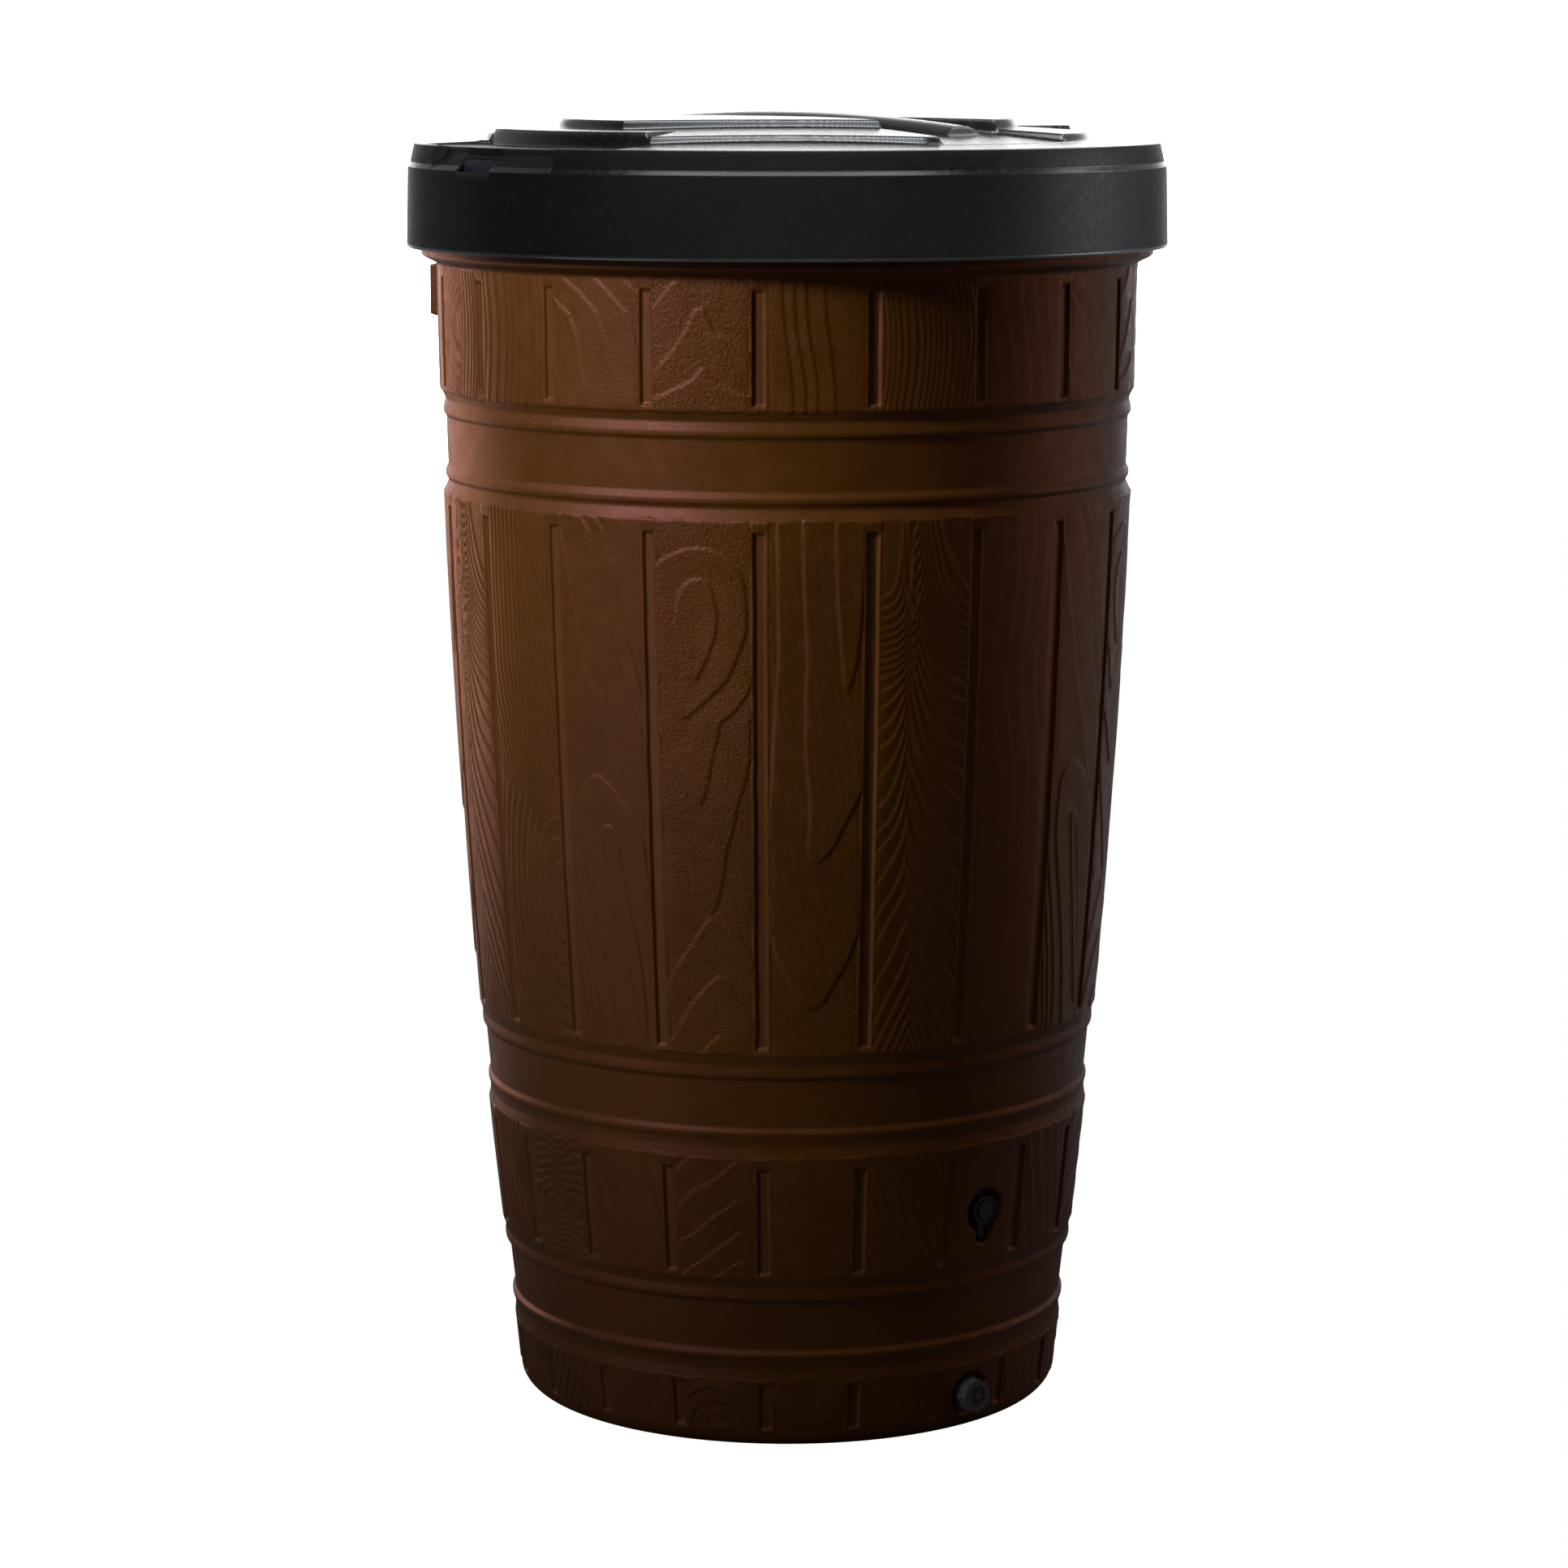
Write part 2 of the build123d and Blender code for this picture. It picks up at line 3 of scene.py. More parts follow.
import bpy
import numpy as np
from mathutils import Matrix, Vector


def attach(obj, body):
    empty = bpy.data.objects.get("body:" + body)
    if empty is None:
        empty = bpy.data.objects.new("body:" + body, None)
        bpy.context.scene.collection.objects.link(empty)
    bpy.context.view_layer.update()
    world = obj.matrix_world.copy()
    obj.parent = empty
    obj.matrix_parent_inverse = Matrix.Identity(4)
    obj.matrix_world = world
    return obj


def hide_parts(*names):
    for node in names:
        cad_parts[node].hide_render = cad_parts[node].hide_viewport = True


# Looks of a plank-pattern rain barrel with a black lid and two small fittings.
# Lengths are millimetres until a mesh is made.  Azimuth 0 is the front (-Y) and it
# grows towards +X.

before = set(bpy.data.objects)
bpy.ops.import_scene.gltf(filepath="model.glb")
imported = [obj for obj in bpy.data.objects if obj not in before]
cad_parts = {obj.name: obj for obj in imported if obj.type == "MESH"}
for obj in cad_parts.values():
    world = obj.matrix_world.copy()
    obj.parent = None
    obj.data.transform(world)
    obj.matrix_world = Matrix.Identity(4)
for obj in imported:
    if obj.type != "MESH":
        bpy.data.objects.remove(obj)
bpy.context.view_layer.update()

MM = 0.001

# ---- barrel dimensions ---------------------------------------------------------
WALL = 4.5
BELLY_RADIUS, BELLY_LEVEL, BELLY_ARC = 322.0, 1142.0, 9190.0
CORNER = 21.0
FOOT_INNER = 190.0
PUSH_UP = 6.0
FLARE_LOW, FLARE_HIGH = 1056.0, 1064.0
COLLAR = 336.0
RIM_TOP = 1160.4
HOOPS = [
    ((75, 88, 94, 128, 144, 153), (2.0, 0.6, 4.1)),
    ((285, 297, 303, 337, 352, 361), (2.3, 1.4, 4.1)),
    ((857, 864.6, 872, 911, 922.5, 933), (4.4, 2.0, 4.7)),
]
HOOP_EDGE = 10.0
HOOP_SOFTNESS = 0.55
BEAD_HALF = 1.8
PLANKS = 20
PLANK_STEP = 360 / PLANKS
FIRST_GROOVE = -4.4
GROOVE_DEPTH = 2.8
WOOD_RISE = 0.6
GROOVE_SPANS = [(18, 61), (166, 265), (376, 837), (946, 1046)]
WOOD_BANDS = [(14, 66), (160, 276), (370, 848), (940, 1056)]
PAD_AZIMUTH, PAD_WIDTH, PAD_DISTANCE = -102.0, 100.0, 327.5
PAD_LOW, PAD_HIGH = 1004.0, 1054.0
NOTCH = (-68.0, -34.3)
NOTCH_LEVEL = 1144.0
NOTCH_FOOT = 1128.0
FITTING_AZIMUTH = 40.6
# each fitting's recess: its level, how far its floor is from the axis, its radius, and the
# length and half width of the run-off channel below it
TAP_RECESS = {"level": 211.0, "floor": 257.5, "radius": 20.0, "run": 22.0, "half_width": 8.5}
DRAIN_RECESS = {"level": 35.5, "floor": 250.5, "radius": 20.0, "run": 0.0, "half_width": 0.0}
RECESS_WALL = 5.3


def smooth(low, high, x):
    """Eases from 0 at low to 1 at high."""
    t = np.clip((x - low) / (high - low), 0.0, 1.0)
    return t * t * (3.0 - 2.0 * t)


def belly(z):
    """Radius of the belly arc at a height."""
    return BELLY_RADIUS - BELLY_ARC + np.sqrt(BELLY_ARC**2 - (BELLY_LEVEL - z) ** 2)


def value_noise(x, y, cell_x, cell_y, seed):
    """Smooth noise from -1 to 1 with the given cell size."""
    lattice = np.random.default_rng(seed).uniform(-1, 1, (64, 64))
    u, v = x / cell_x, y / cell_y
    i, j = np.floor(u).astype(int), np.floor(v).astype(int)
    fu, fv = u - i, v - j
    fu, fv = fu * fu * (3 - 2 * fu), fv * fv * (3 - 2 * fv)
    a = lattice[i % 64, j % 64] * (1 - fu) + lattice[(i + 1) % 64, j % 64] * fu
    b = lattice[i % 64, (j + 1) % 64] * (1 - fu) + lattice[(i + 1) % 64, (j + 1) % 64] * fu
    return a * (1 - fv) + b * fv


def grid_mesh(name, points, keep=None, flat=None, attributes=None):
    """A mesh from a grid of points (rows, columns, 3) in mm; the last column joins the first.

    keep leaves out cells of the grid, and flat adds faces between any of its points.
    """
    rows, columns = points.shape[:2]
    index = np.arange(rows * columns).reshape(rows, columns)
    right = np.roll(index, -1, axis=1)
    a, b, c, d = index[:-1], right[:-1], right[1:], index[1:]
    quads = np.stack([a, b, c, d], axis=-1)
    quads = quads[keep] if keep is not None else quads.reshape(-1, 4)
    smooth_faces = np.ones(len(quads), bool)
    if flat is not None:
        quads = np.concatenate([quads, flat])
        smooth_faces = np.concatenate([smooth_faces, np.zeros(len(flat), bool)])
    points = points.reshape(-1, 3)
    mesh = bpy.data.meshes.new(name)
    mesh.vertices.add(len(points))
    mesh.vertices.foreach_set("co", (points * MM).astype(np.float32).ravel())
    mesh.loops.add(quads.size)
    mesh.loops.foreach_set("vertex_index", quads.astype(np.int32).ravel())
    mesh.polygons.add(len(quads))
    mesh.polygons.foreach_set("loop_start", np.arange(0, quads.size, 4, dtype=np.int32))
    mesh.update(calc_edges=True)
    mesh.validate()
    mesh.polygons.foreach_set("use_smooth", smooth_faces)
    for key, values in (attributes or {}).items():
        layer = mesh.attributes.new(key, "FLOAT", "POINT")
        layer.data.foreach_set("value", values.astype(np.float32).ravel())
    mesh.update()
    piece = bpy.data.objects.new(name, mesh)
    bpy.context.scene.collection.objects.link(piece)
    return piece


# ---- wood grain ----------------------------------------------------------------
# A plank's pattern is a field that counts growth rings.  At each whole number the
# surface drops by one step, and between two steps it rises again.


def rings(x, z, spine, up, down, across, tip_up=2.4, tip_down=1.3):
    """Nested loops round a heart: how far each ring reaches up, down and sideways.

    spine lists (height, sideways place) with the heart first.
    """
    heart = spine[0][0]
    levels = sorted(spine)
    middle = np.interp(z, [p[0] for p in levels], [p[1] for p in levels])
    side = np.interp(np.abs(x - middle), [0] + across, np.arange(len(across) + 1))
    above = np.interp(z - heart, [0] + up, np.arange(len(up) + 1))
    below = np.interp(heart - z, [0] + down, np.arange(len(down) + 1))
    top = (side**tip_up + above**tip_up) ** (1 / tip_up)
    bottom = (side**tip_down + below**tip_down) ** (1 / tip_down)
    return np.where(z > heart, top, bottom)


def arches(z, fall, levels):
    """Rings stacked over each other: the heights of their tops, and how far the legs fall here."""
    return np.interp(z + fall, levels, np.arange(len(levels)))


def blend_fields(first, second, share):
    """Heights of two patterns laid over each other: share 0 is the first, 1 the second."""
    return first * (1 - share) + second * share


def relief_of(phase, x, z, depth, step):
    """Height over the lowest point: rises along the phase, drops by depth at each whole number."""
    dz = np.gradient(phase, axis=0) / np.maximum(np.gradient(z, axis=0), 1e-6)
    dx = np.gradient(phase, axis=1) / np.maximum(np.gradient(x, axis=1), 1e-6)
    fall = np.clip(step * np.hypot(dx, dz), 0.05, 0.55)
    part = phase - np.floor(phase)
    rise = part / (1 - fall)
    drop = smooth(0.0, 1.0, (1.0 - part) / fall)
    return depth * (np.where(part < 1 - fall, rise, drop) - 1.0)


def main_feather(x, z):
    """Chevrons whose legs leave a spine steeply and flatten towards the plank's edges."""
    spine = np.interp(z, [400, 560, 640, 760, 840], [-4, -14, -15, -8, -12])
    away = x - spine
    side = np.abs(away)
    high = smooth(500, 640, z + side)
    flat = np.where(away > 0, 2.0 * side, 1.9 * side)
    bent = np.where(away > 0, 105 * (1 - np.exp(-side / 28)), 95 * (1 - np.exp(-side / 9)))
    steep = 1 + 2.2 * smooth(680, 800, z)
    fall = (flat * (1 - high) + bent * high) * steep
    levels = [340, 353, 366, 379, 392, 405, 421, 440, 462, 491, 526, 553, 590, 628, 655, 688]
    levels += [712, 735, 757, 780, 805, 830, 850, 872, 895, 920, 945, 970, 1000, 1030, 1060]
    return relief_of(arches(z, fall, levels), x, z, 0.85, 1.9)


def main_knot(x, z):
    """Fine upright lines that lean into a small knot; wide nested bows below it."""
    lean = 35.0 * (np.clip(720 - z, 0, 130) / 126) ** 1.7
    upright = relief_of((x - lean) / 6.3 + 20, x, z, 0.85, 2.0)
    bows = np.hypot(x - 38, (z - 497) / 2.35) / 8.2
    below = relief_of(bows, x, z, 1.2, 2.2)
    field = blend_fields(upright, below, 1 - smooth(572, 598, z + 0.35 * x))
    reach = np.hypot(x - 19, z - 592)
    eye = relief_of(reach / 4.6, x, z, 1.1, 1.8)
    return blend_fields(field, eye, 1 - smooth(19, 25, reach))


def main_arch(x, z):
    """A tall arch with a narrow one inside it, below two long lines that run down to the right."""
    spine = [(548, 4), (845, -14), (700, -10), (617, -10), (572, 0), (500, 12), (440, 23), (380, 30)]
    phase = rings(
        x, z, spine, [24, 70, 175, 295, 380], [170, 900, 1800, 2700, 3600, 4500, 5400, 6300],
        [9, 34, 47, 55, 62, 69, 76, 83], tip_up=3.0, tip_down=2.0,
    )
    line = np.interp(z, [400, 600, 654, 706, 776, 798, 833, 848], [110, 58, 41, 21, 4, 0, -9, -19])
    left = np.maximum((x - line) / 33.0, -1.4)
    long_lines = np.where(x < line, left, np.minimum((x - line) / 15.0, 1.5))
    outside = smooth(2.1, 2.5, phase) * np.maximum(smooth(-4, 12, x), smooth(606, 625, z))
    return blend_fields(relief_of(phase, x, z, 1.1, 1.8), relief_of(long_lines, x, z, 1.1, 1.8), outside)


def main_heart(x, z):
    """Irregular loops round a tall heart; two arches at the bottom."""
    spine = [(757, -8), (845, -5), (708, -9), (672, -20), (640, -12), (596, -6), (500, 3), (380, 3)]
    loops = rings(x, z, spine, [40, 66, 110], [49, 85, 160, 262, 300], [20, 47, 66, 52, 70])
    low = arches(z, 66 * (np.abs(x - 8) / 46) ** 1.2, [330, 392, 446, 503, 600])
    field = relief_of(loops, x, z, 1.25, 2.1)
    return blend_fields(field, relief_of(low, x, z, 1.2, 2.0), 1 - smooth(486, 512, z))


def main_drip(x, z):
    """Upright lines that end in long bowls."""
    spine = [(1000, 30), (720, 30), (660, 24), (600, 16), (545, 0), (408, -2), (380, -2)]
    phase = rings(
        x, z, spine, [400], [308, 455, 592, 760], [16, 44, 66, 90], tip_down=2.2,
    )
    faint = relief_of((x + 0.12 * z) / 9.0, x, z, 0.18, 3.5)
    return relief_of(phase, x, z, 1.2, 2.4) + faint


def main_smooth(x, z):
    """Almost plain: a few wavering upright lines."""
    sway = 7 * np.sin((z - 430) / 62.0) + 3 * np.sin((z - 400) / 27.0)
    return relief_of((x - sway) / 17.0, x, z, 0.4, 4.0)


def upright_lines(pitch, bow, depth):
    """A pattern of upright lines for the top band, bowed to one side."""

    def pattern(x, z):
        bulge = bow * np.sin((z - 946) / 105 * math.pi)
        uneven = 0.22 * np.sin((x - bulge) / 6.5)
        return relief_of((x - bulge) / pitch + uneven, x, z, depth, 2.0)

    return pattern


def top_few(x, z):
    """Four soft lines in the left half, which lean to the right further down."""
    lean = 9 * smooth(1040, 950, z)
    phase = np.interp(x - lean, [-60, -29, -18, -8, 7, 50], [-0.4, 1, 2, 3, 4, 4.7])
    return relief_of(phase, x, z, 0.9, 2.4)


def top_bends(x, z):
    """Lines that come from the upper left, bend down and run out."""
    line = np.interp(z, [940, 972, 1000, 1023, 1037, 1056], [-4, -11, -18, -27, -42, -62])
    return relief_of((x - line) / 30.0, x, z, 0.8, 2.0) * smooth(945, 985, z)


def top_peaks(x, z):
    """Two peaked lines over each other, the upper one with a rounded top."""
    upper_places = [-44, -39, -24, -13, -8, -2, 2, 5, 12, 40, 44]
    upper_falls = [52, 47, 33, 15, 3, 0, 0, 6, 21, 32, 34]
    lower_places = [-44, -39, -8, 0, 8, 14, 40, 44]
    lower_falls = [24, 22, 10, 0, 6, 12, 21, 22]
    upper = np.interp(x, upper_places, upper_falls)
    lower = np.interp(x, lower_places, lower_falls)
    fall = lower + (upper - lower) * smooth(975, 1005, z + 0.5 * upper)
    return relief_of(arches(z, fall, [920, 979, 1028, 1085, 1140]), x, z, 1.1, 2.2)


def low_waves(x, z):
    """Close lines that run from the upper left to the lower right in waves."""
    run = x + 0.55 * (z - 218) + 5 * np.sin((x + z) / 14.0)
    return relief_of(run / 8.5, x, z, 1.0, 2.0)


def low_eye(x, z):
    """A knot like an eye, with the lines drawn in from both sides."""
    reach = np.sqrt((x - 2) ** 2 / 6.0 + (z - 212) ** 2 * np.exp(-np.abs(x - 2) / 60)) + 2 * np.sin(x / 6.0)
    return relief_of(reach / 6.5, x, z, 1.0, 2.0)


def low_slants(x, z):
    """A few straight lines that lean to the left."""
    return relief_of((x + 0.24 * (z - 218)) / 17.0, x, z, 0.85, 2.2)


def low_hills(x, z):
    """Rounded hills over each other, falling to the left."""
    fall = np.where(x < 20, 0.75 * (20 - x), 0.09 * (x - 20) ** 2)
    return relief_of(arches(z, fall, [150, 178, 205, 239, 272, 305, 340]), x, z, 0.95, 2.2)


def low_single(x, z):
    """One slanting line."""
    return relief_of((x + 0.42 * (z - 218) + 42) / 60.0, x, z, 0.7, 3.0)


def foot_hills(x, z):
    """Rounded hills round a point near the ground."""
    return relief_of(np.hypot(x, (z - 18) * 1.15) / 14.0 * -1, x, z, 0.9, 2.2)


def foot_bowl(x, z):
    """One wide bowl."""
    return relief_of(np.hypot(x * 1.2, (z - 70)) / 50.0, x, z, 1.0, 2.4)


def foot_slants(x, z):
    """Close lines that lean to the right."""
    return relief_of((x - 0.35 * (z - 40)) / 11.0, x, z, 0.9, 2.2)


# Five plank patterns in each band, repeated every quarter turn, and one plain plank
# at the fittings.  Planks are counted from the one right of the first groove.
BAND_PATTERNS = [
    [foot_bowl, low_waves, foot_slants, low_slants, foot_hills],
    [low_single, low_waves, low_eye, low_slants, low_hills],
    [main_drip, main_feather, main_knot, main_arch, main_heart],
    [top_few, upright_lines(5.8, 5.0, 0.6), upright_lines(10.5, 4, 0.6), top_bends, top_peaks],
]
PLAIN_PLANK = 2
PLAIN_SHARE = 0.4
# how rough the skin is on each pattern's planks, and on the hoops
PEBBLED = [0.7, 0.2, 0.25, 0.5, 1.25]
HOOP_PEBBLE = 0.25


def grain(band, number, x, z):
    """Relief in mm (0 is the surface, less is lower) of one plank in one band."""
    place = 11.0 * number + 170.0 * band
    bent_x = x + 1.3 * value_noise(x + place, z, 26, 60, 11)
    bent_z = z + 4.0 * value_noise(x + place, z, 24, 40, 12)
    if number == PLAIN_PLANK:
        return main_smooth(bent_x, bent_z) * PLAIN_SHARE
    return BAND_PATTERNS[band][number % 5](bent_x, bent_z)


# ---- barrel --------------------------------------------------------------------
def drop_profile():
    """How far the plain outline lies inside the belly arc, by height."""
    heights, drops = [0.0], [0.0]
    for (groove_low, bead_low, band_low, band_high, bead_high, groove_high), depths in HOOPS:
        groove, bead, band = depths
        heights += [groove_low - HOOP_EDGE, groove_low, bead_low - 5.5, bead_low - BEAD_HALF]
        heights += [bead_low + BEAD_HALF, band_low, bead_high - 5.5, bead_high - BEAD_HALF]
        heights += [bead_high + BEAD_HALF, groove_high, groove_high + HOOP_EDGE]
        drops += [0, groove, groove, bead, bead, band, band, bead, bead, groove, 0]
    heights.append(RIM_TOP)
    drops.append(0.0)
    fine = np.arange(0.0, RIM_TOP, 0.25)
    values = np.interp(fine, heights, drops)
    kernel = np.exp(-0.5 * (np.arange(-24, 25) * 0.25 / HOOP_SOFTNESS) ** 2)
    padded = np.pad(values, 24, mode="edge")
    return fine, np.convolve(padded, kernel / kernel.sum(), mode="valid")


DROP_HEIGHTS, DROPS = drop_profile()


def outline_radius(z):
    """Radius of the plain outline, with its hoops and the collar."""
    r = belly(z) - np.interp(z, DROP_HEIGHTS, DROPS)
    return r + (COLLAR - r) * smooth(FLARE_LOW - 1, FLARE_HIGH + 1, z)


def barrel_columns(fine, coarse):
    """Azimuths of the columns, closer together at the plank grooves."""
    near = np.arange(-1.9, 1.9, fine)
    far = np.linspace(1.9, PLANK_STEP - 1.9, int((PLANK_STEP - 3.8) / coarse), endpoint=False)
    one = np.concatenate([near, far])
    return np.concatenate([FIRST_GROOVE + PLANK_STEP * k + one for k in range(PLANKS)])


def wall_levels(pitch):
    """Heights of the rows up the wall, closer together at the hoops."""
    levels = [CORNER]
    while levels[-1] < FLARE_HIGH + 4:
        at_hoop = any(h[0] - 13 < levels[-1] < h[5] + 13 for h, _ in HOOPS)
        levels.append(levels[-1] + pitch * (0.6 if at_hoop else 1.0))
    return levels


def barrel_rows(pitch):
    """The outline from the middle of the underside, up the wall, over the rim and down inside."""
    centre = belly(CORNER) - CORNER
    under = [(0.001, PUSH_UP), (60, PUSH_UP), (120, PUSH_UP), (FOOT_INNER - PUSH_UP - 2, PUSH_UP)]
    under += [(FOOT_INNER - PUSH_UP, PUSH_UP - 0.5), (FOOT_INNER - 1, 0.8), (FOOT_INNER + 1, 0)]
    under += [(FOOT_INNER + 15, 0), (centre - 8, 0), (centre - 2, 0)]
    turn = np.linspace(0, math.pi / 2, int(33 / pitch), endpoint=False)
    corner = [(centre + CORNER * math.sin(t), CORNER - CORNER * math.cos(t)) for t in turn]
    wall = [(float(outline_radius(z)), float(z)) for z in wall_levels(pitch)]
    collar = [(COLLAR, z) for z in np.arange(FLARE_HIGH + 8, RIM_TOP - 3, 8)]
    edge = [(COLLAR, RIM_TOP - 1.6), (COLLAR - 0.5, RIM_TOP - 0.5), (COLLAR - 1.6, RIM_TOP)]
    edge += [(COLLAR - WALL + 1.6, RIM_TOP), (COLLAR - WALL + 0.5, RIM_TOP - 0.5)]
    edge += [(COLLAR - WALL, RIM_TOP - 1.6)]
    levels = np.concatenate([np.arange(RIM_TOP - 6, 262, -9), np.arange(260, CORNER, -2.5)])
    inside = [(float(outline_radius(z)) - WALL, float(z)) for z in levels]
    floor = [(centre + 12, WALL + 3), (centre, WALL), (FOOT_INNER, WALL)]
    floor += [(FOOT_INNER - PUSH_UP, WALL + PUSH_UP), (0.001, WALL + PUSH_UP)]
    return under, corner, wall, collar + edge, inside + floor


def wood_relief(r, z, azimuth):
    """Height of the wood surface over the plain outline, and how much is wood there."""
    relief = np.zeros_like(z)
    wood = np.zeros_like(z)
    place = (azimuth - FIRST_GROOVE) / PLANK_STEP
    number = np.floor(place + 1e-9).astype(int) % PLANKS
    across = (place - np.floor(place + 1e-9) - 0.5) * PLANK_STEP * math.pi / 180 * r
    half = 0.5 * PLANK_STEP * math.pi / 180 * r
    to_edge = half - np.abs(across)
    for band, (low, high) in enumerate(WOOD_BANDS):
        rows = np.where((z[:, 0] > low - 4) & (z[:, 0] < high + 4))[0]
        span = slice(rows[0], rows[-1] + 1)
        ragged = 1.5 * value_noise(azimuth[span] * 5.6, z[span], 14, 400, 90 + band)
        zb, xb, eb = z[span], across[span], to_edge[span]
        inside = smooth(low - 0.6, low + 1.6, zb + ragged)
        inside = inside * (1 - smooth(high - 1.6, high + 0.6, zb + ragged))
        local = np.zeros_like(zb)
        for k in range(PLANKS):
            columns = np.where(number[0] == k)[0]
            local[:, columns] = grain(band, k, xb[:, columns], zb[:, columns])
        clear = smooth(6.0, 9.0, eb)
        wobble = 0.35 * value_noise(zb, azimuth[span] * 2, 22, 9, 200 + band)
        start, end = GROOVE_SPANS[band]
        trench = 1 - smooth(3.6 + wobble, 6.0 + wobble, eb)
        trench = trench * smooth(start - 0.5, start + 2.0, zb) * (1 - smooth(end - 2.0, end + 0.5, zb))
        shoulder = np.exp(-((np.maximum(eb - 5, 0) / 4.0) ** 2)) * smooth(start - 9, start, zb)
        shoulder = shoulder * (1 - smooth(end, end + 9, zb))
        relief[span] += inside * (local * clear + WOOD_RISE * (1 - trench)) - GROOVE_DEPTH * trench
        relief[span] -= 0.7 * shoulder * (1 - trench)
        wood[span] += inside * (1 - trench)
    return relief, wood


def pad_share(azimuth, z):
    """1 on the flat pad near the rim."""
    away = np.radians((azimuth - PAD_AZIMUTH + 180) % 360 - 180)
    beside = np.abs(PAD_DISTANCE * np.tan(np.clip(away, -1.2, 1.2)))
    share = (1 - smooth(PAD_WIDTH / 2 - 1.5, PAD_WIDTH / 2 + 1.5, beside)) * (np.abs(away) < 0.5)
    share = share * smooth(PAD_LOW - 0.5, PAD_LOW + 2.5, z)
    return share * (1 - smooth(PAD_HIGH - 2.5, PAD_HIGH + 0.5, z))


def recess_reach(recess, sideways, z):
    """Distance outside the recess and its run-off channel; less than 0 is inside."""
    level, run = recess["level"], recess["run"]
    reach = np.hypot(sideways, z - level) - recess["radius"]
    if run > 0:
        channel = np.hypot(sideways, z - np.clip(z, level - run, level)) - recess["half_width"]
        reach = np.minimum(reach, channel)
    return reach


def make_barrel():
    """The barrel as one closed shell: outside, rim, water side and base."""
    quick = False
    columns = barrel_columns(0.32 if quick else 0.17, 0.5 if quick else 0.27)
    under, corner, wall, collar, inside = barrel_rows(3.0 if quick else 1.55)
    outline = np.array(under + corner + wall + collar + inside)
    tangent = np.gradient(outline, axis=0)
    tangent /= np.linalg.norm(tangent, axis=1)[:, None]
    shape = (len(outline), len(columns))
    azimuth = np.broadcast_to(columns, shape)
    r = np.broadcast_to(outline[:, :1], shape).copy()
    z = np.broadcast_to(outline[:, 1:], shape).copy()
    relief, wood = np.zeros(shape), np.zeros(shape)
    first, last = len(under), len(under) + len(corner) + len(wall)
    relief[first:last], wood[first:last] = wood_relief(r[first:last], z[first:last], azimuth[first:last])
    outer = slice(first, last + len(collar))
    water_side = slice(last + len(collar), len(outline))
    r += relief * tangent[:, 1:]
    z -= relief * tangent[:, :1]
    # the flat pad
    away = np.radians((azimuth - PAD_AZIMUTH + 180) % 360 - 180)
    flat = PAD_DISTANCE / np.maximum(np.cos(away), 0.5)
    r[outer] = np.maximum(r, r + (flat - r) * pad_share(azimuth, z))[outer]
    # the recesses of the two fittings, on the outside and on the water side
    turn = np.radians(azimuth - FITTING_AZIMUTH)
    for recess in (TAP_RECESS, DRAIN_RECESS):
        outwards = r * np.cos(turn)
        reach = recess_reach(recess, r * np.sin(turn), z)
        seat = recess["floor"]
        for rows, floor_at, wider in ((outer, seat, 0.0), (water_side, seat - RECESS_WALL, WALL)):
            sunk = (1 - smooth(wider - 1.0, wider + 1.0, reach)) * (outwards > 0)
            target = floor_at / np.maximum(np.cos(turn), 0.5)
            r[rows] = (r + (np.minimum(target, r) - r) * sunk)[rows]
            relief[rows] = (relief * (1 - sunk))[rows]
    # the rim is lower behind the gaps in the lid's edge
    between = sector_mask(azimuth, r, NOTCH, 1.0)
    pressed = NOTCH_FOOT + (z - NOTCH_FOOT) * (NOTCH_LEVEL - NOTCH_FOOT) / (RIM_TOP - NOTCH_FOOT)
    z = np.where(z > NOTCH_FOOT, z + (pressed - z) * between, z)
    a = np.radians(azimuth)
    points = np.stack([r * np.sin(a), -r * np.cos(a), z], axis=-1)
    outside = np.arange(len(outline))[:, None] < last + len(collar)
    upper = 0.5 * smooth(FLARE_HIGH + 8, FLARE_HIGH + 16, z) * outside
    number = np.floor((columns - FIRST_GROOVE) / PLANK_STEP + 1e-9).astype(int) % PLANKS
    pebble = HOOP_PEBBLE + (np.array(PEBBLED)[number % 5] - HOOP_PEBBLE) * wood
    return grid_mesh("barrel_shell", points, attributes={"relief": relief, "upper": upper, "pebble": pebble})


# ---- lid -----------------------------------------------------------------------
LID_WALL = 3.5
# the edge has a gap between these azimuths and on the opposite side, with a slot in it
GAP = (-66.0, -36.3)
SLOT = (-57.4, -48.3)
SLOT_LOW, SLOT_HIGH = 1142.0, 1156.0
SLOT_INNER = 329.5
LUG = (-56.9, -48.8)
POCKET = (-75.0, -26.0)
POCKET_LEVEL, POCKET_BACK_LEVEL, POCKET_BACK_INNER = 1164.0, 1178.5, 169.0
SOFT = 2.4
CROWN_RADIUS, CROWN_LEVEL, CROWN_DROP = 285.0, 1181.5, 14.2
BRIM_LEVEL, BRIM_DROP, BRIM_WIDTH = 1167.3, 2.3, 56.2
# each disc: radius, how far out it is cut straight, level of its middle, drop to its edge
LOWER_DISC = (276.0, 250.0, 1183.5, 9.0)
UPPER_DISC = (209.0, 150.0, 1188.8, 2.0)
GRIP_AZIMUTH = 46.0
CHANNEL_ANGLE = 17.0
GRIP_LENGTH, GRIP_WIDTH, GRIP_RISE = 217.0, 24.5, 12.0
GRIP_LEVEL, GRIP_ARCH = 1180.98, 11.0
TOP_RADIUS, LEDGE_INNER = 336.5, 328.5


def box_mask(x, low, high, soft):
    return smooth(low - soft, low + soft, x) * (1 - smooth(high - soft, high + soft, x))


